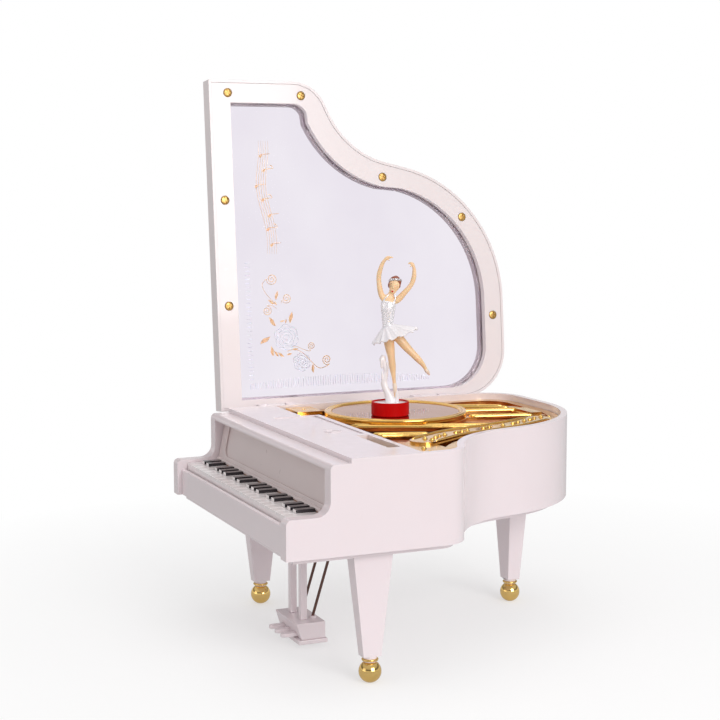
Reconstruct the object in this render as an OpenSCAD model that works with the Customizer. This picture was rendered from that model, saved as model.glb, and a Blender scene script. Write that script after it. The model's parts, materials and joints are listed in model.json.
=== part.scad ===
// Grand-piano music box with a dancing ballerina.
// +X runs from the bass side to the treble side, the keyboard faces -Y, +Z is up.
// The origin is on the ground under the middle of the outer box, with the lid open.

/* [Case] */
// Width of the case across the keyboard
case_w = 130; // [129:0.5:131]
// Length of the straight treble side
side_len = 60; // [59:0.5:61]
// Height of the case underside above the ground
leg_h = 48.4; // [48:0.2:50]
// Height of the case walls
case_h = 33.8; // [33.6:0.2:34.4]
// Thickness of the case walls
wall = 2.6; // [2.4:0.1:2.8]
// Thickness of the two cheeks beside the keys
cheek_t = 5.4; // [5:0.1:6]
// Height of the cheeks above the case underside
cheek_h = 14.3; // [14:0.1:15]
// Depth of the keyboard recess in front of the top rail
rail_y = 16.3; // [16:0.1:17]
// Distance from the front of the case to the raised deck
deck_y = 24; // [23.5:0.1:24.5]

/* [Case outline] */
// Radius of the rounded treble corner
corner_r = 12; // [11:0.5:13]
// Radius of the hollow of the bentside
hollow_r = 42; // [41:0.5:43]
// Radius of the round tail side
bow_r = 56; // [55:0.5:57]
// Radius of the bass corner at the tail
tail_r = 17; // [16:0.5:18]

/* [Lid] */
// How far the lid stands out past the case
lid_over = 3.8; // [3.6:0.1:4]
// Thickness of the lid
lid_t = 7.5; // [7.2:0.1:8]
// Angle between the closed and the open lid
lid_open = 95; // [93:1:97]
// Width of the white frame around the window
bezel_w = 8.1; // [7.5:0.1:8.5]

/* [Keyboard] */
// Number of white keys
white_n = 22; // [8:1:22]

/* [Mirror and dancer] */
// Radius of the mirror
mirror_r = 26.8; // [26:0.1:27]
// Radius of the dancer's red base
base_r = 7.7; // [7.4:0.1:8]
// Height of the dancer's red base
base_h = 5.6; // [5.4:0.1:6]

/* [Movement] */
// Number of crown teeth on the spring barrel
barrel_n = 60; // [60]
// Number of teeth on the drum's pinion
drum_pinion_n = 12; // [12]
// Number of teeth on the drum's wheel
drum_wheel_n = 36; // [36]
// Number of teeth on the second arbor's pinion
second_n = 9; // [9]
// Number of teeth on the worm wheel
worm_wheel_n = 16; // [16]
// Number of notes on the comb
notes = 18; // [18]

/* [Hidden] */
$fn = 48;
eps = 0.02;

// Colours
shell_white = [0.93, 0.89, 0.90];
gold = [0.90, 0.70, 0.28];
steel = [0.72, 0.73, 0.75];

// Heights above the ground
z_case = leg_h;
z_rim = leg_h + case_h;
z_rail = z_rim - 1.7;
rail_t = 2.2;
z_cheek = leg_h + cheek_h;
cover_t = 2;
z_cover = z_case - cover_t;
deck_t = 2;
board_z = z_rim - 7.2;
board_t = 1.6;
plate_t = 1.4;
plate_z = z_rim - 4.1;
plate_top = plate_z + plate_t;
mirror_t = 1.2;
mirror_z = plate_top + 1;
mirror_top = mirror_z + mirror_t;
fit = 0.1;

// The outline's chain of arcs: treble corner, hollow, short straight, round tail side
turn_a = 65;
turn_b = 13;
run_a = 4;
run_b = 10;
c1 = [case_w - corner_r, side_len];
e1 = c1 + corner_r * [cos(turn_a), sin(turn_a)] + run_a * [-sin(turn_a), cos(turn_a)];
c2 = e1 + hollow_r * [cos(turn_a), sin(turn_a)];
e2 = c2 - hollow_r * [cos(turn_b), sin(turn_b)] + run_b * [-sin(turn_b), cos(turn_b)];
c3 = e2 - bow_r * [cos(turn_b), sin(turn_b)];
case_l = c3[1] + bow_r;
c4 = [tail_r, case_l - tail_r];

// Points along an arc about c from angle a to angle b
function arc(c, r, a, b, n) = [for (i = [0:n]) c + r * [cos(a + (b - a) * i / n), sin(a + (b - a) * i / n)]];

// The plan of the case, moved in by d, from the line y = front to the tail
function outline(d, front) = concat(
    [[d, front], [case_w - d, front]],
    arc(c1, corner_r - d, 0, turn_a, 9),
    arc(c2, -hollow_r - d, turn_a, turn_b, 12),
    arc(c3, bow_r - d, turn_b, 90, 20),
    arc(c4, tail_r - d, 90, 180, 12)
);

// Lid hinge, on the bass side
hinge_x = -3;
hinge_z = z_rim - 1.2;
hinge_r = 1.4;
hinge_ys = [46, 118];
lug_l = 4;
knuckle_l = 8;
pin_r = 0.7;
lid_gap = 0.3;
lid_z = z_rim + lid_gap;
lid_front = deck_y - 1.5;
lid_rim = 1.2;
bezel_in = lid_rim - lid_over;
pocket_z = lid_z + 4.6;
pane_t = 1.4;
bezel_z = lid_z + 0.2;
bezel_t = pocket_z - pane_t - bezel_z;
// The lid is this much wider than the case and its two overhangs
lid_extra = 1.2;
lid_k = 1 + lid_extra / (case_w + 2 * lid_over);
window_shift = 5;
window_corner = 18;
// The frame is this much broader along the hollow
hollow_band = 1.3;

// The outer box, for the origin
box_x_min = hinge_x + cos(lid_open) * (case_w + lid_over + lid_extra - hinge_x)
    - sin(lid_open) * (lid_z + lid_t - hinge_z);
mid_x = (box_x_min + case_w) / 2;
mid_y = (case_l + lid_over) / 2;

// Harp plate, ring and dancer
ring_c = [32.2, 85.8];
// The dancer stands off the mirror's centre, so the turning magnets lead it round
orbit_r = 12;
orbit_a = -35;
dancer_c = ring_c + orbit_r * [cos(orbit_a), sin(orbit_a)];
ring_r = mirror_r + 2.8;
window_r = mirror_r - 2.3;
plate_y = 51.9;

// Legs: centre, size at the top, size at the bottom
foot_r = 4.1;
foot_cut = 3.95;
leg_z0 = 9.6;
leg_bass = [8.4, 34.5];
leg_treble = [121.6, 34.5];
leg_back = [47.6, 132];
leg_wide = [14.8, 6.8];
leg_thin = [6.4, 4.6];
stud_r = 1.2;

// Pedal lyre
lyre_x = 65;
lyre_half = 11.6;
lyre_y = 24.3;
lyre_back = 36;
lyre_z = 1.9;
lyre_base_t = 1.6;
lyre_top = 9.9;
pedal_w = 3;
pedal_l = 3;
pedal_t = 1.4;
pedal_z = lyre_z + lyre_base_t + 0.6;
pedal_pitch = 6.2;
pedal_root = 5;
post_gap = 10.8;
post_w = 2.6;
post_y = 29.2;
rod_r = 0.55;

// Movement, standing on the bottom cover
bed_z = z_case + 1.6;
bed_t = 2;
bed_top = bed_z + bed_t;
bed_x0 = 19;
bed_x1 = 80.4;
bed_y0 = 65;
bed_y1 = 107;
axis_z = bed_top + 7.3;
drum_r = 6.5;
drum_pin_h = 0.5;
drum_x0 = 49.2;
drum_x1 = 68.2;
drum_shaft_r = 0.9;
second_y = ring_c[1] + 9;
second_shaft_r = 0.6;
worm_x = 73.5;
worm_gap = 5.3;
worm_y = second_y + worm_gap;
worm_r = 1.25;
worm_ecc = 0.35;
worm_module = 0.5;
pivot_r = 0.4;
run_fit = 0.05;
pivot_fit = 0.03;
arbor_r = 1.8;
barrel_r = 10.5;
barrel_z = bed_top + 1;
barrel_h = 12;
flange_r = 13;
flange_z = barrel_z + 2;
crown_top = axis_z - 2.2;
carrier_r = 20;
carrier_h = 3;
carrier_z = mirror_z - 0.4 - carrier_h;
pinion_x = ring_c[0] + 11.7;
pinion_w = 1.3;
magnet_r = 2.4;
magnet_h = 2;
magnet_off = 4.4;
screw_r = 1.2;
head_r = 2.3;
head_h = 1.4;
bed_screw_ps = [[22.5, 69], [77, 69], [22.5, 103.5]];
cover_inset = 4;
boss_inset = 6.5;
cover_screw_ps = [
    [boss_inset, 62],
    [case_w - boss_inset, 50],
    [tail_r, case_l - boss_inset],
    c3 + (bow_r - boss_inset) * [cos(32), sin(32)]
];

// Moves the case's own corner frame to the row's frame
module place() {
    translate([-mid_x, -mid_y, 0]) children();
}

// Swings the lid from closed to open
module swing_lid() {
    place()
        translate([hinge_x, 0, hinge_z])
            rotate([0, -lid_open, 0])
                translate([-hinge_x, 0, -hinge_z])
                    children();
}

// Extrudes a profile drawn in (y, z) along x
module along_x(x0, x1) {
    translate([x0, 0, 0])
        rotate([90, 0, 90])
            linear_extrude(x1 - x0)
                children();
}

module plan(d, front, z0, z1) {
    translate([0, 0, z0])
        linear_extrude(z1 - z0)
            polygon(outline(d, front));
}

module rod(c, r, z0, z1) {
    translate([c[0], c[1], z0])
        cylinder(r = r, h = z1 - z0);
}

// A flat gear with straight-sided teeth
module gear2d(n, r, add, ded, root_share = 0.30, tip_share = 0.13) {
    step = 360 / n;
    polygon([for (i = [0:n - 1], k = [-1.5, -0.5, 0.5, 1.5])
        let (tip = abs(k) < 1,
             a = step * (i + sign(k) * (tip ? tip_share : root_share)),
             q = tip ? r + add : r - ded)
        q * [cos(a), sin(a)]]);
}

// A straight bar with round ends between two plan points
module bar2d(p, q, w) {
    a = atan2(q[1] - p[1], q[0] - p[0]);
    polygon(concat(arc(q, w / 2, a - 90, a + 90, 8), arc(p, w / 2, a + 90, a + 270, 8)));
}

// ---------- case ----------

// Side view of what is cut away above the cheeks and the top rail, with the two curves
module cheek_cut2d() {
    sweep_r = 5;
    lip_r = 2;
    difference() {
        union() {
            translate([-1, z_cheek]) square([rail_y + 1, case_h]);
            translate([rail_y - 1, z_rail]) square([deck_y - rail_y + 1, case_h]);
        }
        difference() {
            translate([rail_y - sweep_r, z_cheek - 1]) square([sweep_r, sweep_r + 1]);
            translate([rail_y - sweep_r, z_cheek + sweep_r]) circle(sweep_r);
        }
    }
    difference() {
        translate([rail_y - 1, z_rail - lip_r]) square([lip_r + 1, lip_r + 1]);
        translate([rail_y + lip_r, z_rail - lip_r]) circle(lip_r);
        translate([rail_y + lip_r, z_rail - lip_r - 1]) square([lip_r, lip_r + 2]);
    }
    difference() {
        translate([-1, z_cheek - lip_r]) square([lip_r + 1, lip_r + 1]);
        translate([lip_r, z_cheek - lip_r]) circle(lip_r);
    }
}

module hinge_lug(y) {
    translate([hinge_x, y, hinge_z])
        rotate([-90, 0, 0])
            difference() {
                union() {
                    cylinder(r = hinge_r, h = lug_l);
                    translate([0, -hinge_r, 0])
                        cube([-hinge_x + eps, 2 * hinge_r, lug_l]);
                }
                translate([0, 0, -1]) cylinder(r = pin_r, h = lug_l + 2);
            }
}

module case_shell() {
    ledge_w = 1.6;
    color(shell_white) place() {
        difference() {
            plan(0, 0, z_case, z_rim);
            plan(wall, deck_y, z_case - 1, z_rim + 1);
            translate([cheek_t, -1, z_case - 1])
                cube([case_w - 2 * cheek_t, rail_y + 1 + eps, case_h + 2]);
            translate([cheek_t, rail_y, z_case - 1])
                cube([case_w - 2 * cheek_t, deck_y - rail_y + eps, z_rail - rail_t - z_case + 1]);
            along_x(-1, case_w + 1) cheek_cut2d();
        }
        // Ledge for the soundboard
        difference() {
            plan(wall - eps, plate_y + 1, board_z - 1.6, board_z);
            plan(wall + ledge_w, plate_y + 2 * ledge_w, board_z - 3, board_z + 1);
        }
        // Ledges for the deck
        for (x = [wall - eps, case_w - wall - 2])
            translate([x, deck_y + 1, z_rim - deck_t - 2.6])
                cube([2 + eps, left_back - deck_y - 2, 2.6]);
        // Bosses for the cover screws
        for (p = cover_screw_ps)
            difference() {
                rod(p, boss_inset - wall + 0.3, z_case + 2.2, z_case + 12);
                rod(p, screw_r, z_case, z_case + 11);
            }
        // Hinge lugs on the bass wall
        for (y = hinge_ys) {
            hinge_lug(y - knuckle_l / 2 - lug_l - 0.2);
            hinge_lug(y + knuckle_l / 2 + 0.2);
        }
    }
}

module bottom_cover() {
    rim_w = 1.6;
    color(shell_white) place()
        difference() {
            union() {
                plan(cover_inset, cover_inset, z_cover, z_case);
                difference() {
                    plan(wall + 0.3, deck_y + 1, z_case - eps, z_case + 2);
                    plan(wall + 0.3 + rim_w, deck_y + 1 + rim_w, z_case - 1, z_case + 3);
                }
                for (p = bed_screw_ps)
                    rod(p, 3.5, z_case - eps, bed_z);
                for (p = cover_screw_ps)
                    rod(p, 3.5, z_case - eps, z_case + 2.1);
            }
            for (p = concat(bed_screw_ps, cover_screw_ps)) {
                rod(p, screw_r + 0.1, z_cover - 1, z_case + 3);
                rod(p, head_r + 0.2, z_cover - 1, z_cover + head_h);
            }
            for (p = [leg_bass, leg_treble, leg_back])
                rod(p, screw_r + 0.1, z_cover - 1, z_case + 1);
            rod(ring_c, 4.5, z_cover - 1, z_case + 1);
        }
}

// ---------- keyboard ----------

key_z = z_cheek - 1.3;
key_bed_top = key_z - 4;
key_y0 = 4.3;
key_y1 = 17.4;
key_x0 = cheek_t + fit;
key_span = case_w - 2 * key_x0;
white_w = key_span / white_n;

module key_bed() {
    slip_y = 1.8;
    slip_top = z_cheek - 3.8;
    color(shell_white) place() {
        translate([key_x0, slip_y, z_case])
            cube([key_span, 1.8, slip_top - z_case]);
        translate([key_x0, slip_y, key_bed_top - 2])
            cube([key_span, deck_y - slip_y - 2.4, 2]);
        translate([key_x0, 18.4, key_bed_top - 1])
            cube([key_span, 1.6, z_cheek - 1.1 - key_bed_top + 1]);
    }
}

module white_keys() {
    slot_w = 0.28;
    color([0.95, 0.92, 0.90]) place()
        difference() {
            translate([key_x0, key_y0, key_bed_top])
                cube([key_span, key_y1 - key_y0, key_z - key_bed_top]);
            for (i = [1:white_n - 1])
                translate([key_x0 + i * white_w - slot_w / 2, key_y0 - 1, key_z - 0.9])
                    cube([slot_w, key_y1 - key_y0 + 2, 2]);
        }
}

// True where a black key stands between white key i and the next one, counted from C
function has_black(i) = let (k = i % 7) k != 2 && k != 6;

module black_keys() {
    key_w = 0.56 * white_w;
    black_h = 1.3;
    color([0.12, 0.10, 0.11]) place()
        for (i = [0:white_n - 2])
            if (has_black(i))
                translate([key_x0 + (i + 1) * white_w - key_w / 2, key_y0 + 5, key_z])
                    cube([key_w, key_y1 - key_y0 - 5, black_h]);
}

module fallboard() {
    foot_z = z_cheek - 1.1;
    head_z = z_rail - rail_t;
    color([0.80, 0.73, 0.74]) place()
        along_x(key_x0, case_w - key_x0)
            polygon([[17.8, foot_z], [20, foot_z], [23.6, head_z], [21.4, head_z]]);
}

// ---------- top ----------

desk_x0 = 33.6;
desk_x1 = 82.6;
desk_axis = [32.3, z_rim - 1.1];
desk_t = 1.4;
desk_pin_r = 0.45;
desk_y1 = 49.2;
tray_z = z_rim - deck_t - 1;
left_back = 44;
ridge_y = 49.5;

module desk_recess2d() {
    gap = 0.2;
    translate([desk_x0 - gap, desk_axis[0] - desk_t / 2 - gap])
        square([desk_x1 - desk_x0 + 2 * gap, ridge_y - desk_axis[0] + desk_t / 2 + gap]);
}

module top_deck() {
    slot = [86, 44.6, 29, ridge_y - 44.6];
    recess_z = desk_axis[1] - desk_t / 2 - 0.1;
    color(shell_white) place()
        difference() {
            union() {
                translate([wall + fit, deck_y + 0.05, z_rim - deck_t])
                    cube([case_w - 2 * wall - 2 * fit, left_back - deck_y, deck_t]);
                translate([desk_x0 - 1, left_back - 1, z_rim - deck_t])
                    cube([case_w - wall - fit - desk_x0 + 1, plate_y - 0.1 - left_back + 1, deck_t]);
                translate([desk_x0 - 2, 30, tray_z])
                    cube([desk_x1 - desk_x0 + 4, plate_y - 0.1 - 30, 1 + eps]);
            }
            translate([0, 0, recess_z]) linear_extrude(3) desk_recess2d();
            translate([slot[0], slot[1], z_rim - deck_t - 1])
                cube([slot[2], slot[3], deck_t + 2]);
            translate([desk_x0 - 1.7, desk_axis[0], desk_axis[1]])
                rotate([0, 90, 0])
                    cylinder(r = desk_pin_r + pivot_fit, h = desk_x1 - desk_x0 + 3.4);
        }
}

module music_desk() {
    r = desk_t / 2;
    corner = 3;
    color(shell_white) place() {
        translate([desk_x0, desk_axis[0], desk_axis[1] - r])
            linear_extrude(desk_t)
                union() {
                    square([desk_x1 - desk_x0, desk_y1 - desk_axis[0] - corner]);
                    translate([corner, 0])
                        square([desk_x1 - desk_x0 - 2 * corner, desk_y1 - desk_axis[0]]);
                    for (x = [corner, desk_x1 - desk_x0 - corner])
                        translate([x, desk_y1 - desk_axis[0] - corner]) circle(corner);
                }
        translate([desk_x0, desk_axis[0], desk_axis[1]])
            rotate([0, 90, 0])
                cylinder(r = r, h = desk_x1 - desk_x0);
        translate([desk_x0 - 1.4, desk_axis[0], desk_axis[1]])
            rotate([0, 90, 0])
                cylinder(r = desk_pin_r, h = desk_x1 - desk_x0 + 2.8);
    }
}

// Centre line of the broad treble strut, which runs beside the bentside
treble_strut = [[96, 68], [86, 83.5], [81.5, 97], [75, 117], [66, 134]];

module treble_strut2d(w) {
    for (i = [0:len(treble_strut) - 2])
        bar2d(treble_strut[i], treble_strut[i + 1], w);
}

module plate_struts2d() {
    translate(ring_c) circle(ring_r);
    bar2d([50.5, 56], [69, 98], 5);
    bar2d([69, 98], [74, 112], 5);
    bar2d([75, 56], [83, 80], 5);
    bar2d([30, 113], [39, 147], 3.4);
    bar2d([46, 110], [53, 140], 3.4);
    bar2d([12, 106], [30, 142], 6);
    treble_strut2d(13);
}

// Everything the plate covers, before it is clipped to the inside of the case
module plate2d() {
    front_l = [wall + 0.3, left_back + 0.2];
    difference() {
        polygon(outline(wall + 0.3, plate_y));
        polygon(outline(wall + 4.6, plate_y + 6));
    }
    translate(front_l) square([desk_x0 - 2.2 - front_l[0], plate_y - front_l[1] + 1]);
    polygon([[90, plate_y + 5], [124, plate_y + 5], [124, 66], [112, 71], [97, 70]]);
    translate([38, 137]) square([18, 7]);
    intersection() {
        polygon(outline(wall + 0.3, plate_y));
        plate_struts2d();
    }
}

module harp_plate() {
    rib = 0.9;
    slots = [[84.5, 88.5, 108], [79.6, 103, 107], [73.2, 119.5, 113], [67.2, 130.5, 118]];
    color(gold) place()
        difference() {
            union() {
                translate([0, 0, plate_z])
                    linear_extrude(plate_t)
                        difference() {
                            plate2d();
                            translate(ring_c) circle(window_r);
                        }
                translate([0, 0, plate_top - eps])
                    linear_extrude(rib)
                        difference() {
                            treble_strut2d(11);
                            for (s = slots)
                                translate([s[0], s[1]])
                                    rotate(s[2])
                                        translate([-2.2, -0.8])
                                            square([4.4, 1.6]);
                        }
                difference() {
                    plan(wall + 0.4, plate_y + 1, board_z + board_t, plate_z + eps);
                    plan(wall + 1.6, plate_y + 2.2, board_z, plate_z + 1);
                }
                // Raised seat of the mirror
                translate([0, 0, plate_top - eps])
                    linear_extrude(mirror_z - plate_top + eps)
                        translate(ring_c)
                            difference() {
                                circle(ring_r - 0.2);
                                circle(window_r);
                            }
                translate([4, 48, plate_top - eps])
                    difference() {
                        cube([14, 11, 1.9]);
                        translate([7, 5.5, 0.5]) cylinder(r = 1, h = 2);
                    }
                translate([39.5, 138, plate_top - eps])
                    cube([14, 5, 1.2]);
            }
        }
}

module mirror_ring() {
    lip = 0.6;
    color(gold) place()
        translate([ring_c[0], ring_c[1], mirror_z])
            rotate_extrude($fn = 96)
                polygon([
                    [mirror_r + fit, 0], [ring_r - 0.2, 0], [ring_r - 0.2, mirror_t],
                    [ring_r - 0.9, mirror_t + lip], [mirror_r - 0.6, mirror_t + lip],
                    [mirror_r - 0.6, mirror_t], [mirror_r + fit, mirror_t]
                ]);
}

module mirror() {
    color([0.86, 0.80, 0.78]) place()
        rod(ring_c, mirror_r, mirror_z, mirror_top);
}

module soundboard() {
    color([0.36, 0.10, 0.06]) place()
        difference() {
            plan(wall + 0.3, plate_y + 1, board_z, board_z + board_t);
            rod(ring_c, 3, board_z - 1, board_z + 3);
        }
}

// ---------- legs and feet ----------

module leg(c, top, bottom) {
    neck_r = 2.5;
    foot_top = foot_cut + foot_r - 0.5;
    color(shell_white) place()
        translate([c[0], c[1], 0])
            difference() {
                union() {
                    hull() {
                        translate([-top[0] / 2, -top[1] / 2, z_cover - 1])
                            cube([top[0], top[1], 1]);
                        translate([-bottom[0] / 2, -bottom[1] / 2, leg_z0])
                            cube([bottom[0], bottom[1], 0.5]);
                    }
                    rod([0, 0], neck_r, foot_top, leg_z0 + 1);
                }
                rod([0, 0], stud_r, foot_top - 1, 13);
                rod([0, 0], screw_r, z_cover - 12, z_cover + 1);
            }
}

module foot(c) {
    color(gold) place()
        translate([c[0], c[1], 0]) {
            rotate_extrude()
                intersection() {
                    translate([0, foot_cut]) circle(foot_r);
                    square([foot_r + 1, foot_cut + foot_r - 0.5]);
                }
            rod([0, 0], stud_r, foot_cut + foot_r - 1.5, 12.5);
        }
}

module leg_bass_front() {
    leg(leg_bass, [leg_thin[0], leg_wide[0]], [leg_thin[1], leg_wide[1]]);
}

module leg_treble_front() {
    leg(leg_treble, [leg_thin[0], leg_wide[0]], [leg_thin[1], leg_wide[1]]);
}

module leg_tail() {
    leg(leg_back, [leg_wide[0], leg_thin[0] + 2], [leg_wide[1], leg_thin[1] + 1]);
}

module foot_bass_front() {
    foot(leg_bass);
}

module foot_treble_front() {
    foot(leg_treble);
}

module foot_tail() {
    foot(leg_back);
}

// ---------- pedal lyre ----------

module lyre_posts() {
    color(shell_white) place()
        for (s = [-1, 1])
            translate([lyre_x + s * post_gap / 2 - post_w / 2, post_y - post_w / 2, lyre_top])
                cube([post_w, post_w, z_cover - lyre_top]);
}

module lyre_box() {
    undercut = 2;
    z0 = lyre_z + lyre_base_t;
    color(shell_white) place() {
        difference() {
            along_x(lyre_x - lyre_half, lyre_x + lyre_half)
                polygon([[lyre_y + undercut, z0], [lyre_back, z0], [lyre_back, lyre_top], [lyre_y, lyre_top]]);
            for (s = [-1, 0, 1])
                translate([lyre_x + s * pedal_pitch - pedal_w / 2, lyre_y, pedal_z])
                    cube([pedal_w, pedal_root, pedal_t]);
        }
        for (s = [-1, 1])
            rod([lyre_x + s * post_gap / 2, 33.3], 1.3, lyre_top - eps, lyre_top + 1);
    }
}

module lyre_base() {
    color(shell_white) place()
        translate([lyre_x - lyre_half - 0.8, lyre_y + 0.6, lyre_z])
            cube([2 * lyre_half + 1.6, lyre_back - lyre_y, lyre_base_t]);
}

module pedals() {
    color(shell_white) place()
        for (s = [-1, 0, 1])
            translate([lyre_x + s * pedal_pitch, lyre_y, pedal_z])
                linear_extrude(pedal_t)
                    union() {
                        translate([-pedal_w / 2, -pedal_l]) square([pedal_w, pedal_l + pedal_root]);
                        translate([0, -pedal_l]) circle(pedal_w / 2);
                    }
}

module brace_rods() {
    foot_p = [33.3, lyre_top + 1];
    head_p = [44.3, z_cover];
    tilt = atan2(head_p[0] - foot_p[0], head_p[1] - foot_p[1]);
    color([0.22, 0.10, 0.07]) place()
        for (s = [-1, 1])
            intersection() {
                translate([lyre_x + s * post_gap / 2, foot_p[0], foot_p[1]])
                    rotate([-tilt, 0, 0])
                        translate([0, 0, -1])
                            cylinder(r = rod_r, h = norm(head_p - foot_p) + 2);
                translate([lyre_x + s * post_gap / 2 - 2, foot_p[0] - 2, foot_p[1]])
                    cube([4, 20, head_p[1] - foot_p[1]]);
            }
}

// ---------- lid ----------

lid_mid = bezel_in + bezel_w / 2;
lid_y = lid_front + lid_rim + bezel_w / 2;
lid_screw_ps = stretched([
    [case_w - lid_mid, lid_y + 3],
    c1 + (corner_r - lid_mid) * [cos(20), sin(20)],
    c2 - (hollow_r + lid_mid + hollow_band) * [cos(13), sin(13)],
    c3 + (bow_r - lid_mid) * [cos(48), sin(48)],
    [32, case_l - lid_mid],
    [84, lid_y],
    [40, lid_y]
]);

// Widens plan points towards the treble side, from the lid's bass edge
function stretched(ps) = [for (p = ps) [(p[0] + lid_over) * lid_k - lid_over, p[1]]];

// The lid's plan, moved in from the edge of the case by d
module lid_plan(d, z0, z1) {
    translate([0, 0, z0])
        linear_extrude(z1 - z0)
            polygon(stretched(outline(d, lid_front + d + lid_over)));
}

// The window's plan: close to the hinge side, with a broad corner at the tail
module lid_window(d, z0, z1) {
    x0 = d - window_shift;
    front = lid_front + d + lid_over;
    translate([0, 0, z0])
        linear_extrude(z1 - z0)
            polygon(stretched(concat(
                [[x0, front], [case_w - d, front]],
                arc(c1, corner_r - d, 0, turn_a, 9),
                arc(c2, -hollow_r - d - hollow_band, turn_a, turn_b, 12),
                arc(c3, bow_r - d, turn_b, 90, 20),
                arc([x0 + window_corner, case_l - d - window_corner], window_corner, 90, 180, 12)
            )));
}

module lid_knuckle(y) {
    arm_t = bezel_in - 0.12 - hinge_x + hinge_r;
    reach = -hinge_x - eps;
    heel = [-hinge_r, -(reach + hinge_r * cos(lid_open)) / sin(lid_open)];
    translate([hinge_x, y - knuckle_l / 2, hinge_z])
        rotate([90, 0, 0])
            translate([0, 0, -knuckle_l])
                linear_extrude(knuckle_l)
                    difference() {
                        union() {
                            circle(hinge_r);
                            translate([-hinge_r, 0]) square([arm_t, 8]);
                            polygon([[0, 0], [-hinge_r, 0], heel, [0, -hinge_r]]);
                        }
                        circle(pin_r + run_fit);
                    }
}

module lid_shell() {
    color(shell_white) swing_lid() {
        difference() {
            lid_plan(-lid_over, lid_z, lid_z + lid_t);
            lid_plan(bezel_in - fit, lid_z - 1, pocket_z);
            lid_window(bezel_in + bezel_w + 0.6, lid_z, lid_z + lid_t + 1);
            for (p = lid_screw_ps)
                rod(p, 0.9, pocket_z - 1, pocket_z + 1.5);
        }
        for (y = hinge_ys)
            lid_knuckle(y);
    }
}

module lid_pane() {
    color([0.92, 0.90, 0.94, 0.5]) swing_lid()
        difference() {
            lid_plan(bezel_in + 0.2, pocket_z - pane_t, pocket_z);
            for (p = lid_screw_ps)
                rod(p, 1, pocket_z - 3, pocket_z + 1);
        }
}

module lid_bezel() {
    color(shell_white) swing_lid()
        difference() {
            lid_plan(bezel_in, bezel_z, bezel_z + bezel_t);
            lid_window(bezel_in + bezel_w, bezel_z - 1, bezel_z + bezel_t + 1);
            for (p = lid_screw_ps) {
                rod(p, 0.9, bezel_z - 1, bezel_z + bezel_t + 1);
                rod(p, 1.95, bezel_z - 1, bezel_z + 1);
            }
        }
}

module lid_screws() {
    color(gold) swing_lid()
        for (p = lid_screw_ps)
            difference() {
                union() {
                    rod(p, 1.8, bezel_z - 0.1, bezel_z + 1);
                    rod(p, 0.9, bezel_z + 1 - eps, pocket_z + 1.4);
                }
                translate([p[0] - 1.3, p[1] - 0.2, bezel_z - 1]) cube([2.6, 0.4, 1.4]);
                translate([p[0] - 0.2, p[1] - 1.3, bezel_z - 1]) cube([0.4, 2.6, 1.4]);
            }
}

module hinge_pins() {
    l = knuckle_l + 2 * lug_l + 0.4;
    color(steel) place()
        for (y = hinge_ys)
            translate([hinge_x, y - l / 2, hinge_z])
                rotate([-90, 0, 0])
                    cylinder(r = pin_r, h = l);
}

// ---------- dancer ----------

base_z = mirror_top + 0.05;
disc_z = base_z + base_h - 1.4;
disc_t = 0.8;
stand_z = disc_z + disc_t;
// Direction of the figure's own left-right line in plan
pose_a = 66;

// A point of the figure: s across it, t towards its front, h above the mirror
function fig(s, t, h) = [
    dancer_c[0] + s * cos(pose_a) + t * sin(pose_a),
    dancer_c[1] + s * sin(pose_a) - t * cos(pose_a),
    mirror_top + h
];

module limb(p, rp, q, rq) {
    hull() {
        translate(p) sphere(r = rp, $fn = 14);
        translate(q) sphere(r = rq, $fn = 14);
    }
}

// The trunk and the tops of the legs, which pass through the skirt, grown by g
module trunk(g) {
    waist = fig(-1.2, 0, 36.1);
    hips = fig(0.6, 0, 32);
    limb(fig(0.3, 0, 23.8), 1.4 + g, fig(-0.2, 0, 31), 1.9 + g);
    limb(fig(-0.2, 0, 31), 1.9 + g, hips, 2.2 + g);
    limb(hips, 2.2 + g, fig(4, 0.2, 31), 1.9 + g);
    limb(fig(4, 0.2, 31), 1.9 + g, fig(9, 0.4, 25.6), 1.4 + g);
    limb(hips, 2.2 + g, waist, 1.9 + g);
    limb(waist, 1.9 + g, fig(-0.4, 0, 44.6), 2.7 + g);
}

module head(g) {
    limb(fig(1.1, 0.4, 51.2), 2 + g, fig(1.5, 0.3, 52.6), 2.2 + g);
}

module dancer_figure() {
    color([0.95, 0.82, 0.58]) place() {
        trunk(0);
        head(0);
        translate([fig(2.7, 0, 0)[0], fig(2.7, 0, 0)[1], stand_z])
            cylinder(r1 = 0.5, r2 = 0.7, h = 3.4);
        limb(fig(2.7, 0, 8.6), 0.7, fig(1.8, 0, 15.2), 0.9);
        limb(fig(1.8, 0, 15.2), 0.9, fig(0.3, 0, 23.8), 1.4);
        limb(fig(9, 0.4, 25.6), 1.4, fig(14, -0.6, 19.7), 0.9);
        limb(fig(14, -0.6, 19.7), 0.9, fig(15.8, -1, 16.9), 0.6);
        limb(fig(-2.8, 0, 48.3), 1, fig(2.6, 0, 47.3), 1);
        limb(fig(-0.2, 0, 46), 1.6, fig(0.8, 0.2, 50), 0.9);
        limb(fig(-2.8, 0, 48.3), 1, fig(-5.8, 0.8, 55.3), 0.8);
        limb(fig(-5.8, 0.8, 55.3), 0.8, fig(-0.6, 1.6, 63.6), 0.6);
        limb(fig(2.6, 0, 47.3), 1, fig(8.9, 0.8, 52.9), 0.8);
        limb(fig(8.9, 0.8, 52.9), 0.8, fig(9.6, 1.2, 58.6), 0.65);
        limb(fig(9.6, 1.2, 58.6), 0.65, fig(8.3, 1.6, 61.8), 0.5);
    }
}

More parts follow.
